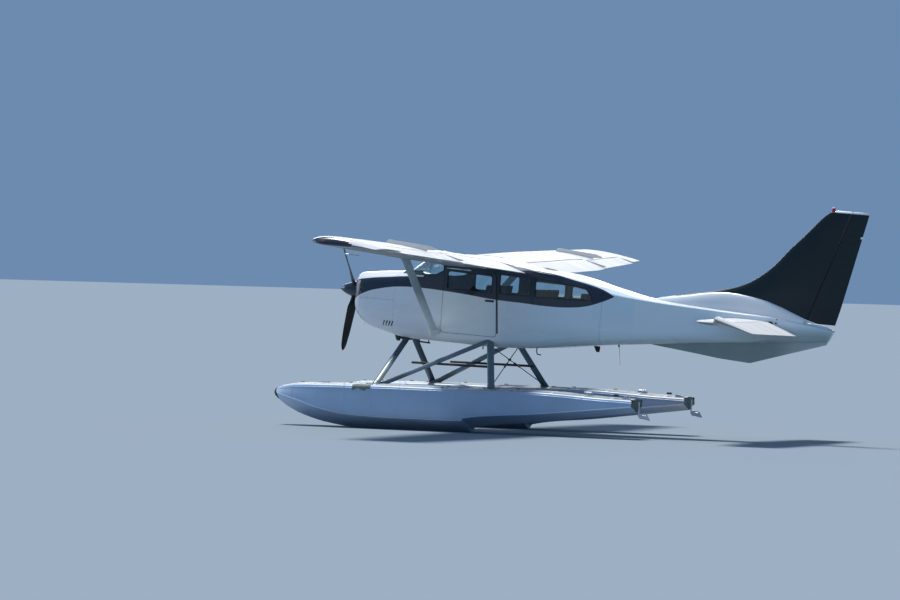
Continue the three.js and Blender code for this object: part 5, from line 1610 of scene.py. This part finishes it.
def build_panel():
    board = body_solid(1480, 1640, -CABIN_WALL - 0.5)
    carve(board, "INTERSECT", solid(box(PANEL_X, (-700, 700), PANEL_Z), AIR))
    piece(board, "panel_board", "airframe", TRIM, "cabin_trim", "instrument_panel")
    face = PANEL_X[1]
    rims, faces, hands = [], [], []
    rim = [(0, 1.12), (0.7, 1.12), (1, 1.0), (1, 0.86), (0.5, 0.86)]
    for y, z, radius in DIALS:
        rims.append(swept(circle(radius, 28), rim, (face - 1, y, z), (face + 6, y, z), (0, 1, 0)))
        faces.append(rod((face, y, z), (face + 3, y, z), radius * 0.86, 28))
        tip = math.radians(40 + 53 * (y + z) % 300)
        end = (face + 4, y + radius * 0.7 * math.sin(tip), z + radius * 0.7 * math.cos(tip))
        hands.append(capsule((face + 4, y, z), end, 1.6, 6))
    radios = []
    for y, z in RADIOS:
        outline = rounded([(y - 78, z - 21), (y + 78, z - 21), (y + 78, z + 21), (y - 78, z + 21)], 5, 3)
        radios.append(loft([[(x, a, b) for a, b in outline] for x in (face - 1, face + 5)]))
        for knob in (-62, 62):
            hands.append(rod((face + 4, y + knob, z), (face + 17, y + knob, z), 7, 12, 6))
    add(rims + radios, AIR, "panel_bezels", "airframe", DARK_METAL, "cabin_trim")
    add(faces, AIR, "dial_faces", "airframe", DIAL, "cabin_trim")
    add(hands, AIR, "dial_hands_and_knobs", "airframe", METAL, "cabin_trim")
    shield = prism(rounded(GLARESHIELD, 8), (-395, 395))
    stand = prism(rounded([(1482, FLOOR_TOP), (1560, FLOOR_TOP), (1560, -38), (1510, -38)], 12), (-88, 88))
    add([shield, stand], AIR, "glareshield_and_stand", "airframe", TRIM, "cabin_trim")
    yokes = []
    for y in (-YOKE_Y, YOKE_Y):
        yokes.append(rod((1560, y, 150), (1736, y, 131), 14, 16))
        grip = [(x, y + dy, z) for x, dy, z in YOKE_GRIP + [(x, -dy, z) for x, dy, z in YOKE_GRIP[-2::-1]]]
        yokes.append(tube_along(grip, 13, 12))
        stations = [(0, 0.9), (0.3, 1), (1, 0.8)]
        yokes.append(swept(circle(34, 20, 0.8), stations, (1722, y, 131), (1752, y, 129), (0, 1, 0)))
    add(yokes, AIR, "control_wheels", "airframe", RUBBER, "cabin_trim", sharp=45)


build_panel()


def refinish(node, material):
    """A CAD node whose shape is right gets its material, and stays."""
    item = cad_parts[node]
    item.data.materials.clear()
    item.data.materials.append(material)


refinish("cabin_floor", CARPET)
refinish("rear_bulkhead", TRIM)
refinish("engine_block", IRON)
refinish("firewall", BODY)


# Rivets and small fittings

def skin_point(x, z, side):
    """The point of the body's skin at a place along it and a height, on one side, and the way out."""
    ring = np.array(body_ring(x, table_at(BODY_ROWS, [x])[0], 0, 30))
    ring = ring[ring[:, 1] > 0]
    ring = ring[np.argsort(ring[:, 2])]
    y, above, below = (np.interp(height, ring[:, 2], ring[:, 1]) for height in (z, z + 4, z - 4))
    slope = float(above - below) / 8
    out = Vector((0, 1, -slope)).normalized()
    return Vector((x, side * float(y), z)), Vector((0, side * out.y, out.z))


def rivets(name, spots, place, material, slot, radius, height):
    """One piece of low rivet heads at points, each with the way out of its surface."""
    forms = []
    for point, out in spots:
        at = basis(point, Vector(point) + Vector(out), (1, 0.3, 0.2))
        rings = [[at @ Vector((x * wide, y * wide, high)) for x, y in circle(radius, 6)]
                 for wide, high in ((1, -1.0), (1, 0.3), (0.55, height))]
        forms.append(loft(rings))
    add(forms, place, name, "airframe", material, slot, sharp=70)


def ring_spots(x, keep):
    """Places around the body's skin at a frame, where their y and z are to be kept."""
    ring = np.array(body_ring(x, table_at(BODY_ROWS, [x])[0], 0, 30))
    closed = np.vstack([ring, ring[:1]])
    lengths = np.concatenate([[0], np.cumsum(np.linalg.norm(np.diff(closed, axis=0), axis=1))])

    def at(distance):
        return [float(np.interp(distance, lengths, closed[:, axis])) for axis in range(3)]

    spots = []
    for distance in np.arange(0, lengths[-1], FRAME_RIVET_PITCH):
        point, ahead = at(distance), at(min(distance + 6, lengths[-1]))
        if keep(point[1], point[2]):
            along_ring = Vector(ahead) - Vector(point)
            out = Vector((0, along_ring.z, -along_ring.y))
            if out.length > 1e-6:
                spots.append((point, out.normalized()))
    return spots


# Frames of the tail cone and the cabin, x of each rivet row
TAIL_FRAMES = [4618, 4920, 5240, 5560, 5900, 6240, 6580, 6920, 7280, 7560, 7840]
CABIN_FRAMES = [1196, 1560, 1930, 2910, 4140, 4580]
FRAME_RIVET_PITCH = 42
# Rows along the tail cone: heights where they start, then x from, to and step
STRINGERS = [-330, -120, 90]
STRINGER_X = (4640, 6900, 48)


def build_body_rivets():
    spots = []
    for x in TAIL_FRAMES:
        spots += ring_spots(x, lambda y, z: z < (270 if x < 6000 else 135) or abs(y) < 60)
    for x in CABIN_FRAMES:
        spots += ring_spots(x, lambda y, z: z < 100 and abs(y) > 60)
    for height in STRINGERS:
        for side in (-1, 1):
            for x in np.arange(*STRINGER_X):
                if -height < 0.8 * -table_at(BODY_ROWS, [x])[0][1]:
                    spots.append(skin_point(x, height * (1 - (x - STRINGER_X[0]) / 5200), side))
    for side in (-1, 1):
        for x in np.arange(1200, 1960, 40):
            spots.append(skin_point(x, -590, side))
        for x in np.arange(2960, 4580, 40):
            spots.append(skin_point(x, -560 + 0.07 * (x - 2960), side))
    rivets("body_rivets", spots, AIR, BODY, "white_paint", 4.2, 1.3)


def wing_top(span, share, side, lower=False):
    """A point of the wing's skin in its own frame, and the way out."""
    lead, chord, ratio, droop = wing_row(span)
    half = float(half_thickness(share)) * ratio
    middle = float(camber(share))
    step = 0.01
    slope = float(half_thickness(share + step) - half_thickness(share)) * ratio / step
    height = middle - half if lower else middle + half
    out = Vector((-slope, 0, -1)) if lower else Vector((-slope, 0, 1))
    return Vector((lead + share * chord, side * span, height * chord - droop)), out.normalized()


RIB_SPANS = [60, 460, 860, 1260, 1660, 2060, 2458, 2860, 3260, 3660, 4060, 4330, 4620]


def build_wing_rivets():
    for word, side in SIDES:
        spots = []
        for lower in (False, True):
            for span in RIB_SPANS:
                rear = 0.66 if 42 < span < 4300 else 0.9
                spots += [wing_top(span, share, side, lower) for share in np.arange(0.06, rear, 0.032)]
            for share in (0.22, 0.62):
                spots += [wing_top(span, share, side, lower) for span in np.arange(80, 4620, 60)]
        rivets(f"wing_rivets_{word}", spots, wing_place(side), WING, "white_paint", 4.2, 1.2)


FLOAT_FRAMES = [-120, 330, 800, 1260, 1720, 2180, 2640, 3200, 3700, 4200, 4700, 5150]
FLOAT_BAND_HALF = 14
FLOAT_BAND_PROUD = 1.6
HATCHES = (-60, 760, 1700, 2400, 3550, 4250)
# Sections of the rails, across and up from the float's chine, its side's top and its keel
CHINE_RAIL = ((-8, -2), (9, -9), (11, -3), (3, 12), (-8, 12))
DECK_RAIL = ((-3, -16), (5, -15), (5, -4), (-3, 2))
KEEL_RAIL = ((-15, 3), (-12, -0.01), (12, -0.01), (15, 3))
# Walkways. Columns: name, front, rear
WALKWAYS = (("front", 1285, 2760), ("rear", 3250, 4500))
STRUT_FOOT_CORNERS = ((-120, -70), (120, -70), (120, 70), (-120, 70))


def build_float_details(word, side):
    y = side * FLOAT_SPACING
    spots, bands = [], []
    for x in FLOAT_FRAMES:
        outer = float_rings(side, (x - FLOAT_BAND_HALF, x + FLOAT_BAND_HALF), FLOAT_BAND_PROUD)
        inner = float_rings(side, (x + FLOAT_BAND_HALF, x - FLOAT_BAND_HALF), -3)
        bands.append(looped(outer + inner))
        half = float_half(table_at(FLOAT_ROWS, [x])[0], FLOAT_BAND_PROUD)
        low, high = half[AT_KNEE], half[AT_SIDE_TOP]
        for part in np.linspace(0.05, 0.95, 9):
            for sign in (-1, 1):
                across = low[0] + part * (high[0] - low[0])
                up = low[1] + part * (high[1] - low[1])
                spots.append(((x, y + sign * across, up), (0, sign, 0.05)))
    for x in np.arange(-250, 5460, 62):
        half = float_half(table_at(FLOAT_ROWS, [x])[0])
        for sign in (-1, 1):
            across, up = half[AT_SIDE_TOP]
            spots.append(((x, y + sign * across, up - 12), (0, sign, 0.05)))
            across, up = half[AT_KNEE]
            spots.append(((x, y + sign * across, up - 14), (0, sign, 0)))
            across = half[AT_DECK_RIM][0] - 16
            spots.append(((x, y + sign * across, deck_height(x, across)), (0, 0, 1)))
    add(bands, GEAR, f"float_{word}_frame_bands", "airframe", FLOAT, "float_paint", sharp=22)
    rivets(f"float_{word}_rivets", spots, GEAR, FLOAT, "float_paint", 5, 1.8)
    places = float_places()
    rows = table_at(FLOAT_ROWS, places)
    rails = []
    for sign in (-1, 1):
        for point, profile, first in ((AT_CHINE, CHINE_RAIL, 4), (AT_SIDE_TOP, DECK_RAIL, 3)):
            rail = []
            for x, row in zip(places[first:], rows[first:]):
                across, up = float_half(row)[point]
                rail.append([(x, y + sign * (across + dy), up + dz) for dy, dz in profile])
            rails.append(loft(rail))
    keel = [[(x, y + dy, row[2] + dz) for dy, dz in KEEL_RAIL]
            for x, row in zip(places, rows) if 900 < x < 2800]
    add(rails + [loft(keel)], GEAR, f"float_{word}_rails", "airframe", FLOAT, "float_paint", sharp=35)
    hatches, knobs = [], []
    for x in HATCHES:
        deck = deck_height(x)
        hatches.append(dome((x, y, deck - 4), (0, 0, 1), 98, 9, 30, 4))
        knobs.append(capsule((x - 34, y, deck + 8), (x + 34, y, deck + 8), 7, 10))
        for off_y in (-250, 250):
            if x > 0:
                knobs.append(dome((x, y + off_y, deck_height(x, off_y) - 1), (0, 0, 1), 19, 8, 14, 2))
    add(hatches, GEAR, f"float_{word}_hatches", "airframe", DECK, "float_paint", sharp=50)
    add(knobs, GEAR, f"float_{word}_plugs_and_handles", "airframe", RUBBER, "cabin_trim", sharp=45)
    build_stern_fittings(word, side)
    strip = [(dy, 2.2) for dy in np.linspace(-230, 230, 9)] + [(dy, -3) for dy in np.linspace(230, -230, 9)]
    for name, front, rear in WALKWAYS:
        walk = [[(x, y + dy, deck_height(x, dy) + dz) for dy, dz in strip] for x in spaced(front, rear, 120)]
        add([loft(walk)], GEAR, f"float_{word}_walkway_{name}", "airframe", TREAD, "cabin_trim")


def build_stern_fittings(word, side):
    """The low cleat, the deck's stern fittings, a dark plate on the transom that is painted shade, and the
    guard on the deck's outer edge.
    """
    y = side * FLOAT_SPACING
    x, top = CLEAT_PADS[1]
    cleat = [tube_along([(x - 60, y, top + 14), (x, y, top + 12), (x + 60, y, top + 14)], 7, 10)]
    cleat += [rod((x + foot, y, top - 2), (x + foot, y, top + 14), 9, 12, 7) for foot in (-24, 24)]
    for place, half, high in ((5329, 42, 34), (5397, 26, 20)):
        deck, top_half = deck_height(place, 120), half * 0.6
        outline = [(place - half, deck - 6), (place + half, deck - 6), (place + top_half, deck + high),
                   (place - top_half, deck + high)]
        cleat.append(prism(rounded(outline, 10), (y - 140, y - 90)))
    add(cleat, GEAR, f"float_{word}_stern_fittings", "airframe", METAL, "bare_metal", sharp=45)
    dark = [capsule((5100, y, deck_height(5100) + 26), (5190, y, deck_height(5190) + 30), 17, 12)]
    for sign in (-1, 1):
        dark.append(capsule((5452, y + sign * 205, 582), (5494, y + sign * 205, 574), 24, 12))
    add(dark, GEAR, f"float_{word}_stern_bumpers", "airframe", RUBBER, "cabin_trim", sharp=45)
    # A dark plate over the transom: painted shade
    ring = float_ring(0, table_at(FLOAT_ROWS, [STERN])[0], side)
    middle = Vector((0, y, np.mean([point[2] for point in ring])))
    face = [[middle + (Vector(point) - middle) * 0.97 + Vector((px, 0, 0)) for point in ring]
            for px in (STERN - 2, STERN + 4)]
    add([loft(face)], GEAR, f"float_{word}_transom", "airframe", TRANSOM_SHADE, "float_paint")
    rings = []
    for px in spaced(936, 1238, 50):
        row = table_at(FLOAT_ROWS, [px])[0]
        outer, inner = (float_half(row, grow)[AT_SIDE_TOP:AT_DECK_RIM + 2] for grow in (7, -2))
        low = outer[0][1] - 30 - 22 * math.sin(px * 0.035)
        wrap = [(outer[0][0] + 3, low), *outer, *inner[::-1], (inner[0][0] + 3, low)]
        rings.append([(px, y + side * across, up) for across, up in wrap])
    add([loft(rings)], GEAR, f"float_{word}_edge_guard", "airframe", EDGE_GUARD, "cabin_trim", sharp=45)


def build_water_rudder(word, side):
    y = side * FLOAT_SPACING
    x, top, bottom, reach = (WATER_RUDDER[key] for key in ("x", "top", "bottom", "reach"))
    post = rod((x, y, bottom + 60), (x, y, top), WATER_RUDDER["radius"], 24)
    corners = [(x, top - 175), (x + reach - 60, top - 175), (x + reach, bottom), (x, bottom + 40)]
    forms = [post, prism(rounded(corners, 22), (y - 6, y + 6))]
    for i, z in enumerate((top - 205, top - 247)):
        for dy in (-7, 7):
            forms.append(capsule((x + 14, y + dy, z), (x + reach - 62 + 12 * i, y + dy, z), 4, 8))
    add(forms, GEAR, f"water_rudder_{word}_blade", f"water_rudder_{word}", METAL, "bare_metal",
        f"water_rudder_{word}")


def build_fittings():
    """Feet and collars where the struts meet the floats."""
    feet, collars = [], []
    for _, side in SIDES:
        for name, low, high, chord, thickness in GEAR_ROWS:
            low, high = Vector(flipped(low, side)), Vector(flipped(high, side))
            length = (high - low).length
            deck = deck_height(low.x, abs(low.y) - FLOAT_SPACING)
            start = (deck - low.z) / (high.z - low.z) * length
            shape = streamlined(chord + 10, thickness + 10)
            collar_ends = along(low, high, start - 6), along(low, high, start + 64)
            collars.append(swept(shape, [(0, 1), (0.85, 1), (1, 0.93)], *collar_ends))
            if name == "float_strut_diagonal":
                continue

            def on_deck(x, y, rise):
                return x, y, deck_height(x, y - side * FLOAT_SPACING) + rise

            plate = rounded([(low.x + dx, low.y + dy) for dx, dy in STRUT_FOOT_CORNERS], 24)
            feet.append(loft([[on_deck(px, py, dz) for px, py in plate] for dz in (-4, 7)]))
            for dx in (-95, 95):
                for dy in (-48, 48):
                    feet.append(dome(on_deck(low.x + dx, low.y + dy, 6), (0, 0, 1), 11, 9, 6, 2))
    add(feet, GEAR, "strut_feet", "airframe", DARK_METAL, "bare_metal", sharp=45)
    add(collars, GEAR, "strut_collars", "airframe", STRUT, "strut_paint", sharp=40)


build_body_rivets()
build_wing_rivets()
for word, side in SIDES:
    build_float_details(word, side)
    build_water_rudder(word, side)
build_fittings()


# Nose details: louvres, exhaust, cowl flaps and cowling fasteners

def build_nose_details():
    x, y, top, bottom, radius = (EXHAUST[key] for key in ("x", "y", "top", "bottom", "radius"))
    pipe = solid(rod((x, y, top), (x, y, bottom), radius, 36), AIR)
    carve(pipe, "DIFFERENCE", solid(rod((x, y, -310), (x, y, bottom - 9), radius - 4, 36), AIR))
    piece(pipe, "exhaust_stack", "airframe", STEEL, "exhaust_steel", "exhaust_pipe")
    hoods, slots = [], []
    aft = Vector((1, 0, 0))
    for side in (-1, 1):
        for i in range(4):
            low = (985 + 50 * i, -503)
            high = (1010 + 50 * i, -424)
            strip, hood = [], []
            for t in np.linspace(0, 1, 7):
                px, pz = low[0] + t * (high[0] - low[0]), low[1] + t * (high[1] - low[1])
                point, out = skin_point(px, pz, side)
                swell = math.sin(math.pi * min(max(t, 0.04), 0.96))
                strip.append([point + out * 3, point + out * 3 + aft * 24, point + aft * 24 - out * 3,
                              point - out * 3])
                hood.append([point - aft * 14, point - out * 3, point + aft * 2 + out * (5 * swell),
                             point - aft * 6 + out * (4 * swell)])
            slots.append(loft(strip))
            hoods.append(loft(hood))
    add(slots, AIR, "louvre_slots", "airframe", RUBBER, "cabin_trim", sharp=40)
    add(hoods, AIR, "louvre_hoods", "airframe", BODY, "white_paint", sharp=60)
    flaps = []
    for side in (-1, 1):
        ys = sorted((side * 30, side * 190))
        flaps.append(prism(rounded([(1070, -626), (1232, -716), (1236, -704), (1074, -612)], 2, 2), ys))
    stations = [(0, 1), (0.6, 0.98), (0.9, 0.86), (1, 0.72)]
    shroud = swept(circle(58, 28, 0.9), stations, (x, y, -600), (x, y, -706))
    collar = swept(circle(40, 28), [(0, 1), (1, 1)], (x, y, -700), (x, y, -722))
    add([*flaps, shroud, collar], AIR, "cowl_flaps", "airframe", DARK_METAL, "bare_metal")
    fasteners = []
    for side in (-1, 1):
        for px in (560, 680, 800, 920, 1040, 1140):
            for dz in (-22, 22):
                point, out = skin_point(px, COWL_SPLIT_Z + dz, side)
                fasteners.append(dome(point, out, 8, 2.5, 12, 2))
        for pz in (-520, -420, -320, -220, -20, 60):
            for px in (FIREWALL_X - 16, BOWL_END + 16):
                point, out = skin_point(px, pz, side)
                fasteners.append(dome(point, out, 7, 2.2, 10, 2))
    add(fasteners, AIR, "cowling_fasteners", "airframe", METAL, "bare_metal", sharp=50)


build_nose_details()


# Body details: door seal, handles, lights, aerials, a vent and belly fittings

def handle(name, x, z, side, body):
    point, out = skin_point(x, z, side)
    outline = rounded([(-75, -16), (75, -16), (75, 16), (-75, 16)], 12)
    plate = swept(outline, [(0, 1), (0.6, 1), (1, 0.94)], point - out * 2, point + out * 4)
    lever = capsule(point + out * 12 + Vector((-52, 0, 0)), point + out * 12 + Vector((55, 0, 3)), 8, 12)
    hinge = point + Vector((45, 0, 0))
    pivot = rod(hinge, hinge + out * 16, 11, 14)
    add([plate, lever, pivot], AIR, name, body, DARK_METAL, "bare_metal", sharp=45)


def build_door_seal():
    """A dark rubber strip on the body along the pilot door's slanted rear edge."""
    _, (low_x, low_z), (high_x, high_z), _ = OPENINGS["pilot_door"]
    strip = body_tube(2700, 3100, 2, -6)
    outline = [(low_x + 1, low_z + 60), (low_x + 25, low_z + 60), (high_x + 22, high_z - 40),
               (high_x + 1, high_z - 40)]
    carve(strip, "INTERSECT", solid(prism(rounded(outline, 8), LEFT_SKIN), AIR))
    piece(strip, "pilot_door_rear_seal", "airframe", RUBBER, "cabin_trim")


build_door_seal()
handle("pilot_door_handle", 2790, 32, -1, "pilot_door")
handle("cargo_front_handle", 3560, 40, 1, "cargo_door_front")
handle("cargo_rear_handle", 3720, 40, 1, "cargo_door_rear")


def blade_aerial(x, z, height, chord, lean, up=-1):
    """A thin swept fin on the skin."""
    rings = []
    for t, scale in ((0, 1.0), (0.5, 0.8), (0.85, 0.6), (1.0, 0.4)):
        rings.append([(x + lean * t + px * scale, py * scale, z + up * height * t)
                      for px, py in section(-chord / 2, chord, 0.22, cambered=False, count=10)])
    return loft(rings)


def build_aerials():
    forms = [blade_aerial(4407, -520, 92, 105, 20), blade_aerial(7210, 150, 60, 60, 40, up=1)]
    add(forms, AIR, "blade_aerials", "airframe", RUBBER, "cabin_trim", sharp=45)
    whip = [rod((4760, 0, -470), (4770, 0, -505), 16, 14, 10),
            rod((4770, 0, -500), (4812, 0, -791), 3.2, 8, 1.6)]
    vent_path = [(3455, -100, -630), (3455, -100, -700), (3470, -100, -733), (3532, -100, -740)]
    vent = [tube_along(vent_path, 9, 10)]
    bar_posts = [rod((px, -100, -650), (px, -100, -712), 9, 10) for px in (1470, 1630)]
    belly_bar = [capsule((1436, -100, -716), (1660, -100, -724), 13, 12)]
    drain = [rod((2550, -100, -668), (2556, -100, -742), 13, 12, 8)]
    fittings = whip + vent + bar_posts + belly_bar + drain
    add(fittings, AIR, "belly_fittings", "airframe", DARK_METAL, "bare_metal", sharp=45)


# How each light's bulb narrows: share of its length, scale
BEACON_FORM = [(0, 1), (0.6, 1), (0.9, 0.92), (1, 0.8)]
BEACON_CAP_FORM = [(0, 1), (0.4, 0.9), (0.8, 0.55), (1, 0.15)]
TAIL_LIGHT_FORM = [(0, 1), (0.5, 0.96), (0.85, 0.66), (1, 0.2)]
TIP_LIGHT_FORM = [(0, 1), (0.5, 0.95), (0.8, 0.7), (1, 0.2)]


def build_lights():
    beacon = swept(circle(30, 24), BEACON_FORM, (8022, 0, 1842), (8016, 0, 1900))
    add([beacon], AIR, "fin_beacon", "airframe", RED_LENS, "window_glass", sharp=50)
    cap = swept(circle(25, 24), BEACON_CAP_FORM, (8016, 0, 1899), (8014, 0, 1924))
    add([cap], AIR, "fin_beacon_cap", "airframe", CLEAR_LENS, "window_glass", sharp=50)
    low = swept(circle(20, 18), TAIL_LIGHT_FORM, (8160, 0, 44), (8204, 0, 48), (0, 1, 0))
    add([low], AIR, "tail_light", "airframe", CLEAR_LENS, "window_glass", sharp=50)
    high = swept(circle(17, 18), TAIL_LIGHT_FORM, (8480, 0, 1482), (8528, 0, 1500), (0, 1, 0))
    add([high], AIR, "rudder_light", "rudder", BODY, "white_paint", sharp=50)
    for word, side in SIDES:
        glass = RED_LENS if side < 0 else GREEN_LENS
        shape = swept(circle(13, 16), TIP_LIGHT_FORM, (380, side * 4866, 2), (374, side * 4902, -3))
        add([shape], wing_place(side), f"wing_tip_light_{word}", "airframe", glass, "window_glass", sharp=50)


build_aerials()
build_lights()


# Wing details: root fairings, strut cuffs, fuel caps, hinge brackets, slots beside the elevator and a pitot
# tube

# The pointed fairing behind each wing root. Columns: x, lower z, upper z, inner y, outer y
ROOT_FAIRING_ROWS = [
    (3150, 553, 608, 560, 613), (3280, 551, 601, 560, 613), (3370, 550, 590, 560, 610),
    (3440, 550, 577, 560, 601), (3490, 550, 564, 560, 592), (3508, 551, 556, 560, 586),
]
BRACKET_SPANS = (360, 1240, 2140, 2760, 3360, 4040)
BRACKET_OUTLINE = ((-70, 6), (-40, -7), (38, -12), (62, -9), (62, 6))
# Dark slots in the tail cone beside the elevator. Columns: x, z, half length, half height
ELEVATOR_SLOTS = ((7205, 92, 52, 22), (7300, 96, 18, 12), (7310, 150, 12, 10))


def build_wing_details():
    fairings = []
    for side in (-1, 1):
        rings = []
        for x, low, high, near, far in ROOT_FAIRING_ROWS:
            edge = min(9, (high - low) / 3)
            outline = [(near, low), (far - edge, low), (far, low + edge), (far, high - edge),
                       (far - edge, high), (near, high)]
            rings.append([(x, side * y, z) for y, z in outline])
        fairings.append(loft(rings))
    add(fairings, AIR, "wing_root_fairings", "airframe", WING, "white_paint", sharp=50)
    for word, side in SIDES:
        place = wing_place(side)
        caps = []
        for span in (620, 1840):
            point, out = wing_top(span, 0.30, side)
            caps.append(dome(point, out, 44, 7, 26, 3))
            middle, reach = point + out * 8, Vector((22, 0, 0))
            caps.append(capsule(middle - reach, middle + reach, 5, 8))
        add(caps, place, f"fuel_caps_{word}", "airframe", METAL, "bare_metal", sharp=45)
        brackets = []
        for span in BRACKET_SPANS:
            panel = AILERON if span > FLAP["to"] else FLAP
            hinge = np.interp(span, (panel["from"], panel["to"]), (panel["hinge"], panel["hinge_tip"]))
            point, _ = wing_top(span, float((hinge - 150) / wing_row(span)[1]), side, True)
            brackets.append(loft([[(point.x + dx, point.y + dy, point.z + dz) for dx, dz in BRACKET_OUTLINE]
                                  for dy in (-7, 7)]))
        add(brackets, place, f"hinge_brackets_{word}", "airframe", WING, "white_paint")
        foot, head = flipped(WING_STRUT["foot"], side), flipped(WING_STRUT["head"], side)
        length = (Vector(head) - Vector(foot)).length
        shape = streamlined(WING_STRUT["chord"] + 22, WING_STRUT["thickness"] + 22)
        ends = along(foot, head, 60), along(foot, head, 215)
        foot_cuff = swept(shape, [(0, 1.25), (0.35, 1.12), (0.7, 1.02), (1, 0.9)], *ends)
        ends = along(foot, head, length - 190), along(foot, head, length - 60)
        head_cuff = swept(shape, [(0, 0.9), (0.25, 1), (1, 1.05)], *ends)
        add([foot_cuff], AIR, f"wing_strut_foot_cuff_{word}", "airframe", BODY, "white_paint", sharp=45)
        add([head_cuff], AIR, f"wing_strut_head_cuff_{word}", "airframe", STRUT, "strut_paint", sharp=45)
    slots = []
    for side in (-1, 1):
        for x, z, long, high in ELEVATOR_SLOTS:
            point, out = skin_point(x, z, side)
            ends = point - out * 3, point + out * 4
            slots.append(swept(circle(long, 20, high / long), [(0, 1), (1, 0.9)], *ends))
    add(slots, AIR, "elevator_slots", "airframe", RUBBER, "cabin_trim", sharp=45)
    point, _ = wing_top(3300, 0.12, -1, True)
    pitot = [rod(point + Vector((20, 0, 4)), point + Vector((0, 0, -70)), 9, 12, 7),
             capsule(point + Vector((40, 0, -72)), point + Vector((-190, 0, -66)), 8, 12)]
    add(pitot, wing_place(-1), "pitot_tube", "airframe", METAL, "bare_metal", sharp=45)


build_wing_details()


# Camera, floor and light

FLOOR_HALF = 900
FLOOR_BLUE = (0.25, 0.30, 0.345)
SKY_BLUE = (0.35, 0.60, 1.0)
SKY_STRENGTH = 0.43
# Lights. Columns: name, azimuth, elevation, angle, strength, colour
LIGHTS = (
    ("key_light", 62, 70, 12, 3.8, (1.0, 0.98, 0.95)),
    ("low_light", 22, 15, 26, 0.5, (1.0, 0.98, 0.96)),
    ("front_light", 88, 14, 26, 0.4, (1.0, 0.98, 0.96)),
)


def build_stage():
    extent = (-FLOOR_HALF, FLOOR_HALF)
    floor = solid(box(extent, extent, (-0.2, 0)), Matrix.Identity(4), "floor")
    graph = finish("pale_floor", FLOOR_BLUE, 0.9, mottle=0.004, scale=0.4)
    graph.shader.inputs["Specular IOR Level"].default_value = 0.0
    floor.data.materials.append(graph.material)
    world = bpy.data.worlds.new("studio")
    bpy.context.scene.world = world
    world.use_nodes = True
    sky = world.node_tree.nodes["Background"]
    sky.inputs["Color"].default_value = (*SKY_BLUE, 1)
    sky.inputs["Strength"].default_value = SKY_STRENGTH
    bpy.context.scene.view_settings.view_transform = "Standard"


CAMERA = {"azimuth": 22.60, "elevation": 0.24, "roll": 1.65, "distance": 64.4, "lens": 164.3}
CAMERA_TARGET = Vector((-2.198, 0, 2.011))


def build_camera():
    azimuth, elevation, roll = (math.radians(CAMERA[key]) for key in ("azimuth", "elevation", "roll"))
    back = Vector((math.sin(azimuth) * math.cos(elevation), -math.cos(azimuth) * math.cos(elevation),
                   math.sin(elevation)))
    level = Vector((math.cos(azimuth), math.sin(azimuth), 0))
    upright = back.cross(level)
    right = level * math.cos(roll) + upright * math.sin(roll)
    up = back.cross(right)
    turned = Matrix((right, up, back)).transposed().to_4x4()
    turned.translation = CAMERA_TARGET + back * CAMERA["distance"]
    data = bpy.data.cameras.new("camera")
    data.lens = CAMERA["lens"]
    data.sensor_width = 36
    data.sensor_fit = "HORIZONTAL"
    data.clip_end = 1000
    camera = bpy.data.objects.new("camera", data)
    camera.matrix_world = turned
    bpy.context.scene.collection.objects.link(camera)
    bpy.context.scene.camera = camera


def soft_sun(name, azimuth, elevation, angle, strength, color):
    """A broad even light from a direction: azimuth is measured from +Y towards -X."""
    data = bpy.data.lights.new(name, "SUN")
    data.energy = strength
    data.angle = math.radians(angle)
    data.color = color
    lamp = bpy.data.objects.new(name, data)
    turn, rise = math.radians(azimuth), math.radians(elevation)
    towards = Vector((-math.sin(turn) * math.cos(rise), math.cos(turn) * math.cos(rise), math.sin(rise)))
    lamp.rotation_euler = towards.to_track_quat("Z", "Y").to_euler()
    bpy.context.scene.collection.objects.link(lamp)


build_stage()
build_camera()
for light in LIGHTS:
    soft_sun(*light)
